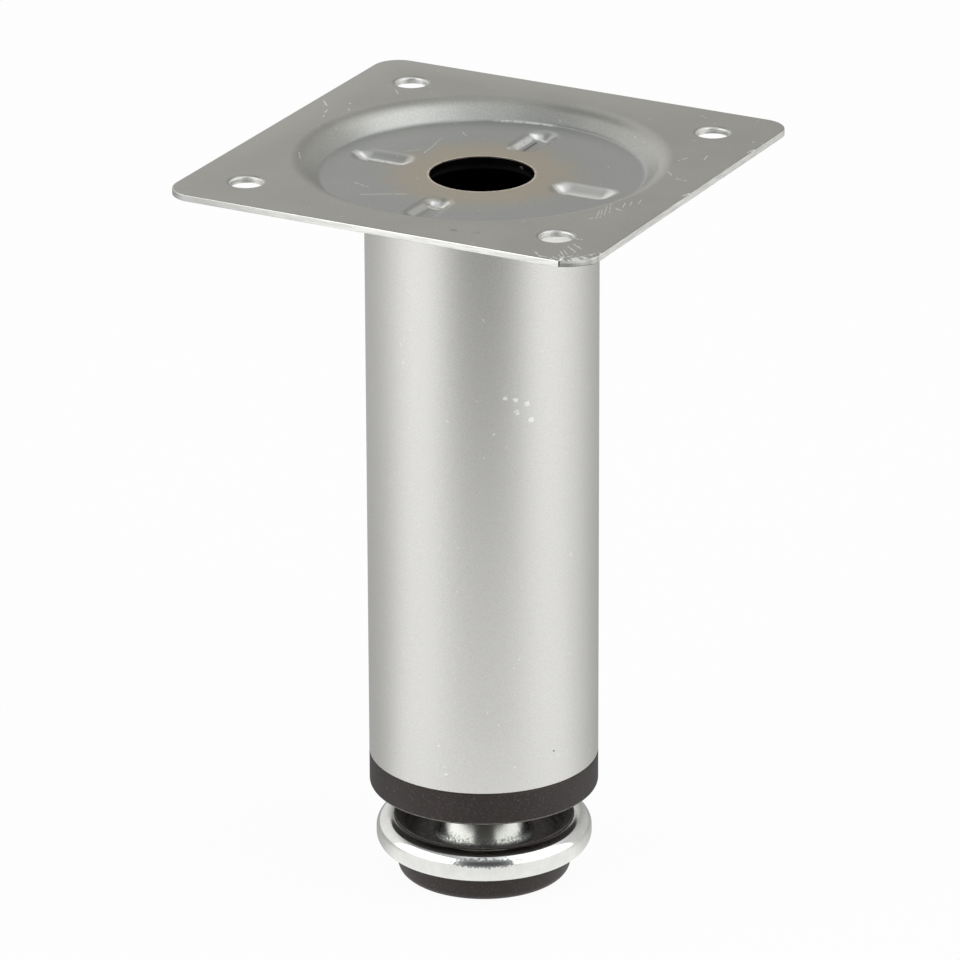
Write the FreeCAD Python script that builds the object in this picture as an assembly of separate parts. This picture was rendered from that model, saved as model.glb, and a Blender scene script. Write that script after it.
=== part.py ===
import FreeCAD, Part
import math
import os

# Height-adjustable furniture leg. Millimetres, +Z up, the plate's edges along X and Y.
# The origin is the middle of the foot pad's bottom face, where the leg meets the floor.

# Tube
tube_diameter = 50.0
tube_length = 131.25
tube_wall = 1.5
tube_end_hole_diameter = 24.0
tube_end_bend = 2.6
tube_lower_edge_radius = 0.35

# Mounting plate
plate_side = 99.0
plate_thickness = 1.5
plate_corner_radius = 6.0
plate_edge_radius = 0.3
screw_spacing = 73.0
screw_hole_diameter = 7.0
screw_hole_rollover = 0.45
centre_hole_diameter = 22.4

# Round dish pressed down into the plate
dish_depth = 3.85
dish_floor_radius = 34.2
dish_wall_angle = 45.0
dish_shoulder_radius = 5.0
dish_crease_radius = 1.2

# Radial grooves pressed through the dish floor and the tube's closed end
groove_count = 4
groove_inner_radius = 16.5
groove_crease_margin = 3.2
groove_width = 7.6
groove_bottom_width = 2.0
groove_depth = 1.4
groove_shoulder_radius = 1.0

# Knocked corner of the plate
knock_length = 9.0
knock_run = 1.7
knock_drop = 0.8

# Moulded end plug
flange_thickness = 7.5
flange_edge_radius = 0.9
flange_seat_chamfer = 0.3
plug_base_wall = 2.2
spigot_length = 20.0
spigot_wall = 2.2
spigot_clearance = 0.15
barb_clearance = 0.02
barb_count = 3
barb_height = 2.4
hub_wall = 2.0
hub_lip = 1.2
web_count = 6
web_thickness = 1.8
stud_passage = 0.6

# Threaded insert
nut_across_flats = 16.0
nut_height = 8.4
nut_pocket_clearance = 0.05
nut_seat_thickness = 3.0
thread_clearance = 0.05

# Threaded stud
stud_diameter = 9.9
stud_length = 34.5
stud_tip_chamfer = 1.2
rivet_shank_diameter = 8.0
rivet_head_diameter = 11.0
rivet_head_height = 1.4

# Pressed foot cup: a tapered neck, a flat floor and a rolled bead
cup_sheet = 1.2
neck_height = 8.1
neck_taper = 27.0
neck_top_bend = 2.0
neck_flare_radius = 4.0
neck_foot_diameter = 27.3
bead_diameter = 47.2
bead_section_radius = 3.0
bead_rise = 2.2
bead_skirt = 1.1
bead_tuck_angle = 15.0
cup_crease_radius = 1.0

# Moulded liner in the cup, from its neck's flare to its bead
liner_floor = 1.0
liner_wall = 0.4
liner_clearance = 0.03
liner_crease_radius = 1.2
liner_top_angle = 110.0

# Foot pad
pad_height = 6.6
pad_diameter = 38.5
pad_flare = 0.3
pad_edge_radius = 2.0
pad_top_edge_radius = 0.3
pad_running_gap = 0.1
pad_post_headroom = 0.3

# Height setting: the open height between the foot cup's bead and the plug as it stands here
adjuster_opening = 7.8
travel_in = 7.35
neck_clearance = 1.2

UP = FreeCAD.Vector(0, 0, 1)
ORIGIN = FreeCAD.Vector(0, 0, 0)
FULL_TURN = 360.0

# Levels up the leg
cup_floor_top = pad_height + pad_running_gap + cup_sheet
bead_centre_level = cup_floor_top + bead_rise
bead_top = bead_centre_level + bead_section_radius
liner_top = cup_floor_top + liner_floor
neck_top = cup_floor_top + neck_height
plug_bottom = bead_top + adjuster_opening
neck_recess_top = neck_top + travel_in + neck_clearance
tube_bottom = plug_bottom + flange_thickness
nut_bottom = tube_bottom + nut_seat_thickness
nut_top = nut_bottom + nut_height
hub_top = nut_top + hub_lip
tube_top = tube_bottom + tube_length
dish_floor_top = tube_top + plate_thickness
plate_top = dish_floor_top + dish_depth
plate_underside = plate_top - plate_thickness

groove_length = dish_floor_radius - groove_crease_margin - groove_inner_radius

# Radii shared by neighbouring pieces
tube_radius = tube_diameter / 2
tube_bore_radius = tube_radius - tube_wall
stud_radius = stud_diameter / 2
bead_centre_radius = bead_diameter / 2 - bead_section_radius
flare_centre_radius = neck_foot_diameter / 2
flare_centre_level = cup_floor_top + neck_flare_radius


def neck_radius_at(level, from_wall=0.0):
    """Radius of the tapered neck at a level, or of a line this far outside its wall."""
    taper = math.radians(neck_taper)
    climb = (level - flare_centre_level) * math.sin(taper)
    return flare_centre_radius - (neck_flare_radius - from_wall + climb) / math.cos(taper)


neck_recess_radius = neck_radius_at(plug_bottom - travel_in) + neck_clearance
hub_radius = neck_recess_radius + hub_wall


def at(radius, level):
    """A point of a turned section, in the X-Z plane."""
    return FreeCAD.Vector(radius, 0, level)


def line(start, end):
    return Part.LineSegment(start, end).toShape()


def polar(centre, radius, degrees):
    angle = math.radians(degrees)
    return centre + FreeCAD.Vector(radius * math.cos(angle), 0, radius * math.sin(angle))


def bend(centre, radius, start, end):
    """A round stretch of a section, from one angle to another in degrees."""
    middle = (start + end) / 2
    points = [polar(centre, radius, angle) for angle in (start, middle, end)]
    return Part.Arc(*points).toShape()


def first_point(edge):
    return edge.valueAt(edge.FirstParameter)


def last_point(edge):
    return edge.valueAt(edge.LastParameter)


def joined(curves):
    """The curves in order, with straight runs between one and the next where they don't meet."""
    run = [curves[0]]
    for curve in curves[1:]:
        gap_start = last_point(run[-1])
        gap_end = first_point(curve)
        if gap_start.distanceToPoint(gap_end) > 1e-6:
            run.append(line(gap_start, gap_end))
        run.append(curve)
    return run


def turned(edges):
    """A solid of revolution about the leg's axis, from a closed section."""
    return Part.Face(Part.Wire(edges)).revolve(ORIGIN, UP, FULL_TURN)


def turned_outline(points):
    return turned(list(Part.makePolygon(points + points[:1]).Edges))


def turned_sheet(upper, lower):
    """A turned pressing of even thickness between its upper and lower contours."""
    start_cap = line(first_point(lower[0]), first_point(upper[0]))
    end_cap = line(last_point(upper[-1]), last_point(lower[-1]))
    return turned([start_cap] + upper + [end_cap] + lower[::-1])


def cylinder(radius, bottom, top):
    return Part.makeCylinder(radius, top - bottom, FreeCAD.Vector(0, 0, bottom))


def around(shape, count, first_angle=0.0):
    """Copies of a shape spread evenly round the leg's axis."""
    copies = []
    for index in range(count):
        copy = shape.copy()
        copy.rotate(ORIGIN, UP, first_angle + index * FULL_TURN / count)
        copies.append(copy)
    return copies


def edges_at_level(shape, level, tolerance=1e-4):
    found = []
    for edge in shape.Edges:
        box = edge.BoundBox
        if abs(box.ZMin - level) < tolerance and abs(box.ZMax - level) < tolerance:
            found.append(edge)
    return found


def obround(inner_radius, length, width, level):
    """A round-ended slot outline that points away from the leg's axis along +X."""
    half = width / 2
    near = inner_radius + half
    far = inner_radius + length - half
    outline = [
        line(FreeCAD.Vector(near, -half, level), FreeCAD.Vector(far, -half, level)),
        Part.Arc(
            FreeCAD.Vector(far, -half, level),
            FreeCAD.Vector(far + half, 0, level),
            FreeCAD.Vector(far, half, level),
        ).toShape(),
        line(FreeCAD.Vector(far, half, level), FreeCAD.Vector(near, half, level)),
        Part.Arc(
            FreeCAD.Vector(near, half, level),
            FreeCAD.Vector(near - half, 0, level),
            FreeCAD.Vector(near, -half, level),
        ).toShape(),
    ]
    return Part.Wire(outline)


def groove_form(sheet_depth):
    """The groove's sloped trough, as it lies this far under the dish floor's upper face."""
    slope = math.atan2(groove_depth, (groove_width - groove_bottom_width) / 2)
    spread = sheet_depth * math.tan(slope / 2)
    level = dish_floor_top - sheet_depth
    shrink = (groove_width - groove_bottom_width) / 2
    mouth = obround(
        groove_inner_radius - spread, groove_length + 2 * spread, groove_width + 2 * spread, level
    )
    floor = obround(
        groove_inner_radius + shrink - spread,
        groove_length - 2 * shrink + 2 * spread,
        groove_bottom_width + 2 * spread,
        level - groove_depth,
    )
    return Part.makeLoft([mouth, floor], True, True)


def dish_contour(sheet_depth, outer_radius):
    """The pressed dish from its centre hole out, this far under the plate's upper face."""
    angle = dish_wall_angle
    crease = at(dish_floor_radius, dish_floor_top + dish_crease_radius)
    turn_drop = 1 - math.cos(math.radians(angle))
    wall_drop = dish_depth - (dish_shoulder_radius + dish_crease_radius) * turn_drop
    wall_run = wall_drop / math.tan(math.radians(angle))
    bends_run = (dish_shoulder_radius + dish_crease_radius) * math.sin(math.radians(angle))
    shoulder_start = dish_floor_radius + bends_run + wall_run
    shoulder = at(shoulder_start, plate_top - dish_shoulder_radius)
    floor_level = dish_floor_top - sheet_depth
    flat_level = plate_top - sheet_depth
    return joined([
        line(at(centre_hole_diameter / 2, floor_level), at(dish_floor_radius, floor_level)),
        bend(crease, dish_crease_radius + sheet_depth, -90, -90 + angle),
        bend(shoulder, dish_shoulder_radius - sheet_depth, 90 + angle, 90),
        line(at(shoulder_start, flat_level), at(outer_radius, flat_level)),
    ])


def plate_outline(bottom, top):
    """The plate's square with rounded corners."""
    half = plate_side / 2
    block = Part.makeBox(
        plate_side, plate_side, top - bottom, FreeCAD.Vector(-half, -half, bottom)
    )
    corners = [edge for edge in block.Edges if edge.BoundBox.ZLength > (top - bottom) / 2]
    return block.makeFillet(plate_corner_radius, corners)


def knocked_corner():
    """The wedge lost from the top edge of the corner at +X, -Y."""
    corner_reach = plate_side / math.sqrt(2) - plate_corner_radius * (math.sqrt(2) - 1)
    section = Part.makePolygon([
        at(corner_reach - knock_run, plate_top),
        at(corner_reach + knock_run, plate_top),
        at(corner_reach + knock_run, plate_top - 2 * knock_drop),
        at(corner_reach - knock_run, plate_top),
    ])
    section.translate(FreeCAD.Vector(0, -knock_length / 2, 0))
    wedge = Part.Face(section).extrude(FreeCAD.Vector(0, knock_length, 0))
    wedge.rotate(ORIGIN, UP, -45)
    return wedge


def make_mounting_plate():
    blank_radius = plate_side
    upper = dish_contour(0, blank_radius)
    lower = dish_contour(plate_thickness, blank_radius)
    plate = turned_sheet(upper, lower)
    plate = plate.common(plate_outline(dish_floor_top - plate_thickness, plate_top))

    half = screw_spacing / 2
    for x in (-half, half):
        for y in (-half, half):
            place = FreeCAD.Vector(x, y, plate_underside)
            plate = plate.cut(Part.makeCylinder(screw_hole_diameter / 2, plate_thickness, place))
    rims = [edge for edge in edges_at_level(plate, plate_top) if is_screw_rim(edge)]
    plate = plate.makeFillet(screw_hole_rollover, rims)
    border = [edge for edge in edges_at_level(plate, plate_top) if is_border_edge(edge)]
    plate = plate.makeFillet(plate_edge_radius, border)
    plate = plate.cut(knocked_corner())

    plate = plate.fuse(around(groove_form(plate_thickness), groove_count))
    plate = plate.cut(around(groove_form(0), groove_count)).removeSplitter()
    mouths = [edge for edge in edges_at_level(plate, dish_floor_top) if is_groove_mouth(edge)]
    return plate.makeFillet(groove_shoulder_radius, mouths)


def is_screw_rim(edge):
    return edge.BoundBox.XLength < 2 * screw_hole_diameter and edge.isClosed()


def is_border_edge(edge):
    box = edge.BoundBox
    reach = max(abs(box.XMin), abs(box.XMax), abs(box.YMin), abs(box.YMax))
    return reach > plate_side / 2 - 1e-3


def is_groove_mouth(edge):
    middle = edge.BoundBox.Center
    return math.hypot(middle.x, middle.y) > centre_hole_diameter / 2


def make_tube():
    """A tube whose upper end is closed in to a flat face with a hole."""
    corner = at(tube_radius - tube_end_bend, tube_top - tube_end_bend)
    hole = tube_end_hole_diameter / 2

    def contour(depth):
        return joined([
            line(at(hole, tube_top - depth), at(corner.x, tube_top - depth)),
            bend(corner, tube_end_bend - depth, 90, 0),
            line(at(tube_radius - depth, corner.z), at(tube_radius - depth, tube_bottom)),
        ])

    tube = turned_sheet(contour(0), contour(tube_wall))
    tube = tube.makeFillet(tube_lower_edge_radius, edges_at_level(tube, tube_bottom))
    body = cylinder(tube_radius, tube_bottom, tube_top)
    pressed = around(groove_form(plate_thickness + tube_wall), groove_count)
    tube = tube.fuse([form.common(body) for form in pressed])
    return tube.cut(around(groove_form(plate_thickness), groove_count)).removeSplitter()


def hexagon(across_flats, bottom, top):
    corner_radius = across_flats / 2 / math.cos(math.radians(30))
    corners = []
    for index in range(7):
        angle = math.radians(60 * index)
        x = corner_radius * math.cos(angle)
        y = corner_radius * math.sin(angle)
        corners.append(FreeCAD.Vector(x, y, bottom))
    return Part.Face(Part.makePolygon(corners)).extrude(FreeCAD.Vector(0, 0, top - bottom))


def make_end_plug():
    """Flange, barbed spigot, webs and a hub with a pocket for the threaded insert."""
    spigot_radius = tube_bore_radius - spigot_clearance
    spigot_top = tube_bottom + spigot_length
    cavity_radius = spigot_radius - spigot_wall
    cavity_floor = plug_bottom + plug_base_wall

    flange = cylinder(tube_radius, plug_bottom, tube_bottom)
    flange = flange.makeFillet(flange_edge_radius, edges_at_level(flange, plug_bottom))
    flange = flange.makeChamfer(flange_seat_chamfer, edges_at_level(flange, tube_bottom))
    spigot = cylinder(spigot_radius, tube_bottom, spigot_top)
    plug = flange.fuse([spigot] + barbs(spigot_radius, spigot_top))
    plug = plug.cut(cylinder(cavity_radius, cavity_floor, spigot_top))

    hub = cylinder(hub_radius, cavity_floor, hub_top)
    web = Part.makeBox(
        cavity_radius, web_thickness, hub_top - cavity_floor,
        FreeCAD.Vector(0, -web_thickness / 2, cavity_floor),
    )
    webs = [copy.common(cylinder(cavity_radius, cavity_floor, hub_top))
            for copy in around(web, web_count)]
    plug = plug.fuse([hub] + webs).removeSplitter()

    plug = plug.cut(cylinder(neck_recess_radius, plug_bottom, neck_recess_top))
    plug = plug.cut(cylinder(stud_radius + stud_passage, neck_recess_top, hub_top))
    pocket = hexagon(nut_across_flats + 2 * nut_pocket_clearance, nut_bottom, hub_top)
    return plug.cut(pocket).removeSplitter()


def barbs(spigot_radius, spigot_top):
    """Rings that slope out to the tube's wall and hold the plug in it."""
    tip_radius = tube_bore_radius - barb_clearance
    pitch = (spigot_top - tube_bottom) / (barb_count + 1)
    rings = []
    for index in range(barb_count):
        level = tube_bottom + pitch * (index + 1) - barb_height / 2
        rings.append(turned_outline([
            at(spigot_radius - spigot_wall / 2, level),
            at(tip_radius, level),
            at(spigot_radius, level + barb_height),
            at(spigot_radius - spigot_wall / 2, level + barb_height),
        ]))
    return rings


def make_threaded_insert():
    """A hexagon nut with both faces' corners turned off."""
    nut = hexagon(nut_across_flats, nut_bottom, nut_top)
    corner_radius = nut_across_flats / 2 / math.cos(math.radians(30))
    slope = (corner_radius - nut_across_flats / 2) * math.tan(math.radians(30))
    barrel = turned_outline([
        at(0, nut_bottom),
        at(nut_across_flats / 2, nut_bottom),
        at(corner_radius, nut_bottom + slope),
        at(corner_radius, nut_top - slope),
        at(nut_across_flats / 2, nut_top),
        at(0, nut_top),
    ])
    return nut.common(barrel).cut(cylinder(stud_radius + thread_clearance, nut_bottom, nut_top))


def make_stud():
    """The threaded stud, with its lower end riveted over inside the foot cup's neck."""
    shank_radius = rivet_shank_diameter / 2
    head_radius = rivet_head_diameter / 2
    neck_ceiling = neck_top - cup_sheet
    stud_top = neck_top + stud_length
    return turned_outline([
        at(0, neck_ceiling - rivet_head_height),
        at(head_radius - rivet_head_height / 2, neck_ceiling - rivet_head_height),
        at(head_radius, neck_ceiling - rivet_head_height / 2),
        at(head_radius, neck_ceiling),
        at(shank_radius, neck_ceiling),
        at(shank_radius, neck_top),
        at(stud_radius, neck_top),
        at(stud_radius, stud_top - stud_tip_chamfer),
        at(stud_radius - stud_tip_chamfer, stud_top),
        at(0, stud_top),
    ])


def neck_contour(depth):
    """The foot cup's neck from its top to the end of its flare, this far under its outer skin."""
    top_bend_level = neck_top - neck_top_bend
    top_bend = at(neck_radius_at(top_bend_level, -neck_top_bend), top_bend_level)
    flare = at(flare_centre_radius, flare_centre_level)
    return joined([
        line(at(rivet_shank_diameter / 2, neck_top - depth), at(top_bend.x, neck_top - depth)),
        bend(top_bend, neck_top_bend - depth, 90, neck_taper),
        bend(flare, neck_flare_radius + depth, 180 + neck_taper, 270),
    ])


def cup_contour(depth):
    """The foot cup from its neck's top to its tucked rim, this far under its outer skin."""
    wall_radius = bead_centre_radius - bead_section_radius
    crease = at(wall_radius - cup_crease_radius, cup_floor_top + cup_crease_radius)
    bead = at(bead_centre_radius, bead_centre_level)
    tuck = at(bead_centre_radius, bead_centre_level - bead_skirt)
    return joined(neck_contour(depth) + [
        bend(crease, cup_crease_radius + depth, -90, 0),
        bend(bead, bead_section_radius - depth, 180, 0),
        bend(tuck, bead_section_radius - depth, 0, -90 - bead_tuck_angle),
    ])


def make_foot_cup():
    return turned_sheet(cup_contour(0), cup_contour(cup_sheet))


def make_foot_liner():
    """A thin moulding that covers the cup's floor and the inner side of its bead."""
    flare = at(flare_centre_radius, flare_centre_level)
    bead = at(bead_centre_radius, bead_centre_level)
    flare_skin = neck_flare_radius - liner_clearance
    bead_skin = bead_section_radius + liner_clearance
    cup_wall = bead_centre_radius - bead_section_radius
    cup_crease = at(cup_wall - cup_crease_radius, cup_floor_top + cup_crease_radius)
    wall_radius = bead_centre_radius - bead_skin - liner_wall
    crease = at(wall_radius - liner_crease_radius, liner_top + liner_crease_radius)
    lip_angle = 180 + math.degrees(math.asin((flare_centre_level - liner_top) / flare_skin))
    section = joined([
        bend(flare, flare_skin, lip_angle, 270),
        bend(cup_crease, cup_crease_radius - liner_clearance, -90, 0),
        bend(bead, bead_skin, 180, liner_top_angle),
        bend(bead, bead_skin + liner_wall, liner_top_angle, 180),
        bend(crease, liner_crease_radius, 0, -90),
    ])
    section.append(line(last_point(section[-1]), first_point(section[0])))
    return turned(section)


def make_foot_pad():
    """The pad, with a post that fills the foot cup's neck."""
    top_radius = pad_diameter / 2
    pad = turned_outline([
        at(0, 0),
        at(top_radius - pad_flare, 0),
        at(top_radius, pad_height),
        at(0, pad_height),
    ])
    pad = pad.makeFillet(pad_edge_radius, edges_at_level(pad, 0))
    pad = pad.makeFillet(pad_top_edge_radius, edges_at_level(pad, pad_height))
    post_top = neck_top - cup_sheet - rivet_head_height - pad_post_headroom
    wall = neck_contour(cup_sheet + pad_running_gap)
    post = turned(joined([
        line(at(0, neck_top), first_point(wall[0])),
        *wall,
        line(last_point(wall[-1]), at(flare_centre_radius, 0)),
        line(at(flare_centre_radius, 0), at(0, 0)),
        line(at(0, 0), at(0, neck_top)),
    ]))
    post = post.common(cylinder(flare_centre_radius, pad_height / 2, post_top))
    return pad.fuse(post).removeSplitter()


PIECES = {
    "mounting_plate": make_mounting_plate,
    "tube": make_tube,
    "end_plug": make_end_plug,
    "threaded_insert": make_threaded_insert,
    "threaded_stud": make_stud,
    "foot_cup": make_foot_cup,
    "foot_liner": make_foot_liner,
    "foot_pad": make_foot_pad,
}

os.makedirs("parts", exist_ok=True)
for name, make in PIECES.items():
    shape = make()
    shape.exportStep("parts/" + name + ".step")
    box = shape.BoundBox
    print(name, "solids", len(shape.Solids), "valid", shape.isValid(), "volume", round(shape.Volume, 1),
          "levels", round(box.ZMin, 2), round(box.ZMax, 2), "width", round(box.XLength, 2))
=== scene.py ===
import math

import bmesh
import bpy
from mathutils import Matrix, Vector, geometry


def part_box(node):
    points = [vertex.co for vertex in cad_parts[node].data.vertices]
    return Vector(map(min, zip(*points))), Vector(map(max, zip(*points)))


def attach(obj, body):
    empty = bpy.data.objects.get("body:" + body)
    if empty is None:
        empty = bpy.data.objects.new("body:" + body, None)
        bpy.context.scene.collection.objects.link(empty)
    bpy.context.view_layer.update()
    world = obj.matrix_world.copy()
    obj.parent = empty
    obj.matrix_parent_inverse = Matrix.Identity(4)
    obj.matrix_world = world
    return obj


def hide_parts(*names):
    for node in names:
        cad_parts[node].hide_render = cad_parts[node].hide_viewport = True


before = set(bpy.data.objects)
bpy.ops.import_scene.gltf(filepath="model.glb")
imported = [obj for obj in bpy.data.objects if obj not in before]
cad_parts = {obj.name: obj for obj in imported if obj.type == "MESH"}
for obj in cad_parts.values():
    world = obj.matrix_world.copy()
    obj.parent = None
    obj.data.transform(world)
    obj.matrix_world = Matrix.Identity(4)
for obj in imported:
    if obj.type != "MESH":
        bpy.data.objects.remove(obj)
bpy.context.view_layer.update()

MM = 0.001
TURN = 2 * math.pi
QUARTER = TURN / 4

# Sizes that the frame's boxes don't give, as its pieces have them
PLATE_SHEET = 1.5 * MM
TUBE_WALL = 1.5 * MM
CUP_SHEET = 1.2 * MM
PLATE_CORNER = 6.0 * MM
PLATE_EDGE = 0.3 * MM
PLATE_LOWER_EDGE = 0.1 * MM
SCREW_SPACING = 73.0 * MM
SCREW_HOLE = 3.5 * MM
SCREW_ROLLOVER = 0.75 * MM
CENTRE_HOLE = 11.2 * MM
DISH_FLOOR = 34.2 * MM
DISH_WALL = math.radians(45)
DISH_SHOULDER = 5.0 * MM
DISH_CREASE = 1.2 * MM
GROOVE_INNER = 16.5 * MM
GROOVE_OUTER = 31.0 * MM
GROOVE_HALF = 3.8 * MM
GROOVE_FLOOR_HALF = 1.0 * MM
GROOVE_DEPTH = 1.4 * MM
TUBE_END_HOLE = 12.0 * MM
TUBE_END_BEND = 2.6 * MM
TUBE_SIDE_START = 6.0 * MM
TUBE_LOWER_EDGE = 0.35 * MM
FLANGE_EDGE = 0.9 * MM
FLANGE_CHAMFER = 0.3 * MM
PLUG_BASE = 2.2 * MM
SPIGOT_WALL = 2.2 * MM
SPIGOT_CLEARANCE = 0.15 * MM
BARB_CLEARANCE = 0.02 * MM
BARB_COUNT = 3
BARB_HEIGHT = 2.4 * MM
HUB_WALL = 2.0 * MM
HUB_LIP = 1.2 * MM
WEB_COUNT = 6
WEB_HALF = 0.9 * MM
WEB_OVERLAP = 0.2 * MM
STUD_PASSAGE = 0.6 * MM
NECK_CLEARANCE = 1.2 * MM
RECESS_CHAMFER = 0.3 * MM
TRAVEL_IN = 7.35 * MM
NUT_FLATS_HALF = 8.0 * MM
NUT_FACE_EDGE = 0.3 * MM
POCKET_CLEARANCE = 0.05 * MM
THREAD_CLEARANCE = 0.05 * MM
THREAD_PITCH = 1.5 * MM
THREAD_DEPTH = 0.8 * MM
THREAD_FLANK = 1.15
STUD_RADIUS = 4.95 * MM
STUD_TIP = 1.2 * MM
SHANK_RADIUS = 4.0 * MM
RIVET_HEAD = 5.5 * MM
RIVET_HEIGHT = 1.4 * MM
NECK_TAPER = math.radians(27)
NECK_BEND = 2.0 * MM
NECK_FLARE = 4.0 * MM
NECK_FOOT = 13.65 * MM
CUP_CREASE = 1.0 * MM
BEAD_SECTION = 3.0 * MM
BEAD_RISE = 2.2 * MM
BEAD_SKIRT = 1.1 * MM
BEAD_TUCK = math.radians(15)
LINER_FLOOR = 1.0 * MM
LINER_WALL = 0.4 * MM
LINER_CLEARANCE = 0.03 * MM
LINER_CREASE = 1.2 * MM
LINER_LIP_TURN = math.radians(110)
PAD_FLARE = 0.3 * MM
PAD_EDGE = 2.0 * MM
PAD_TOP_EDGE = 0.3 * MM
PAD_FLAT_MARGIN = 0.5 * MM
PAD_GAP = 0.1 * MM
PAD_HEADROOM = 0.3 * MM

# How finely round shapes are cut into faces
DISH_SEGMENTS = 360
HOLE_SEGMENTS = 64
CORNER_STEPS = 16
SIDE_STEPS = 40
EDGE_STEPS = 5
TUBE_SEGMENTS = 256
PLUG_SEGMENTS = 192
NUT_SEGMENTS = 144
STUD_SEGMENTS = 96
THREAD_ROWS = 12
FOOT_SEGMENTS = 288
PAD_SEGMENTS = 192

# The strip round an edge from which it has the cut edge's finish, and how near two points are one
CUT_START = 3
SAME_PLACE = 1e-9

# Places of the pieces, read from the frame
tube_low, tube_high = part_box("tube")
plate_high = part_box("mounting_plate")[1]
plug_low, plug_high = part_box("end_plug")
nut_low, nut_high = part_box("threaded_insert")
stud_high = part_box("threaded_stud")[1]
cup_low, cup_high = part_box("foot_cup")
pad_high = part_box("foot_pad")[1]

TUBE_RADIUS = tube_high.x
TUBE_BORE = TUBE_RADIUS - TUBE_WALL
PLATE_HALF = plate_high.x
PLATE_STRAIGHT = PLATE_HALF - PLATE_CORNER
PLATE_TOP = plate_high.z
PLATE_UNDERSIDE = PLATE_TOP - PLATE_SHEET
DISH_TOP = tube_high.z + PLATE_SHEET
NECK_TOP = cup_high.z
BEAD_CENTRE = (cup_high.x - BEAD_SECTION, cup_low.z + BEAD_SKIRT + BEAD_SECTION)
CUP_FLOOR = BEAD_CENTRE[1] - BEAD_RISE
CUP_WALL = BEAD_CENTRE[0] - BEAD_SECTION
CREASE_CENTRE = (CUP_WALL - CUP_CREASE, CUP_FLOOR + CUP_CREASE)
FLARE_CENTRE = (NECK_FOOT, CUP_FLOOR + NECK_FLARE)
LINER_TOP = CUP_FLOOR + LINER_FLOOR
PAD_TOP = CUP_FLOOR - CUP_SHEET - PAD_GAP
PAD_RADIUS = pad_high.x

DISH_DEPTH = PLATE_TOP - DISH_TOP
BENDS = DISH_SHOULDER + DISH_CREASE
WALL_DROP = DISH_DEPTH - BENDS * (1 - math.cos(DISH_WALL))
SHOULDER_START = DISH_FLOOR + BENDS * math.sin(DISH_WALL) + WALL_DROP / math.tan(DISH_WALL)
GROOVE_SLOPE = math.atan2(GROOVE_DEPTH, GROOVE_HALF - GROOVE_FLOOR_HALF)

# The photograph's camera, worked out from the tube's sides, the plate's edges and its holes
CAMERA_TURN = math.radians(27.816)
CAMERA_RISE = math.radians(21.845)
CAMERA_ROLL = -0.0036
CAMERA_YAW = -0.0004
CAMERA_DISTANCE = 1554.6 * MM
AIM_HEIGHT = 91.34 * MM
FOCAL_PIXELS = 7223.7
FRAME_PIXELS = 960
SENSOR = 36.0


def arc(centre, radius, start, end, steps):
    """Points of a round stretch of a turned section, angles in radians."""
    points = []
    for step in range(steps + 1):
        angle = start + (end - start) * step / steps
        points.append((centre[0] + radius * math.cos(angle), centre[1] + radius * math.sin(angle)))
    return points


def graded(start, end, steps):
    """Evenly spaced values from start to end, both included."""
    return [start + (end - start) * step / steps for step in range(steps + 1)]


def ring_grid(bm, rows, segments, closed):
    """Rings of vertices about the leg's axis, skinned from each row to the next."""
    rings = []
    for radius, level in rows:
        if not callable(radius) and radius < SAME_PLACE:
            rings.append([bm.verts.new((0, 0, level))])
            continue
        ring = []
        for index in range(segments):
            angle = TURN * index / segments
            reach = radius(angle) if callable(radius) else radius
            height = level(angle) if callable(level) else level
            ring.append(bm.verts.new((reach * math.cos(angle), reach * math.sin(angle), height)))
        rings.append(ring)
    pairs = list(zip(rings, rings[1:]))
    if closed:
        pairs.append((rings[-1], rings[0]))
    for lower, upper in pairs:
        for index in range(segments):
            following = (index + 1) % segments
            corners = [lower[index % len(lower)], lower[following % len(lower)],
                       upper[following % len(upper)], upper[index % len(upper)]]
            distinct = list(dict.fromkeys(corners))
            if len(distinct) > 2:
                bm.faces.new(distinct)
    return rings


def finished_mesh(bm, name, sharp_degrees=32):
    """A smooth shaded mesh, sharp at edges that turn by more than an angle."""
    bmesh.ops.recalc_face_normals(bm, faces=bm.faces)
    mesh = bpy.data.meshes.new(name)
    bm.to_mesh(mesh)
    bm.free()
    mesh.shade_smooth()
    mesh.set_sharp_from_angle(angle=math.radians(sharp_degrees))
    return mesh


def piece(name, mesh, body, finishes, replaced):
    """A visible piece in place of a node of the frame, on that node's body."""
    thing = bpy.data.objects.new(name, mesh)
    bpy.context.scene.collection.objects.link(thing)
    for finish in finishes:
        mesh.materials.append(finish)
    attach(thing, body)
    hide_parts(replaced)
    return thing


def turned_mesh(name, rows, segments, closed=True):
    """A section of (radius, level) rows turned about the leg's axis."""
    bm = bmesh.new()
    ring_grid(bm, rows, segments, closed)
    return finished_mesh(bm, name)


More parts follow.
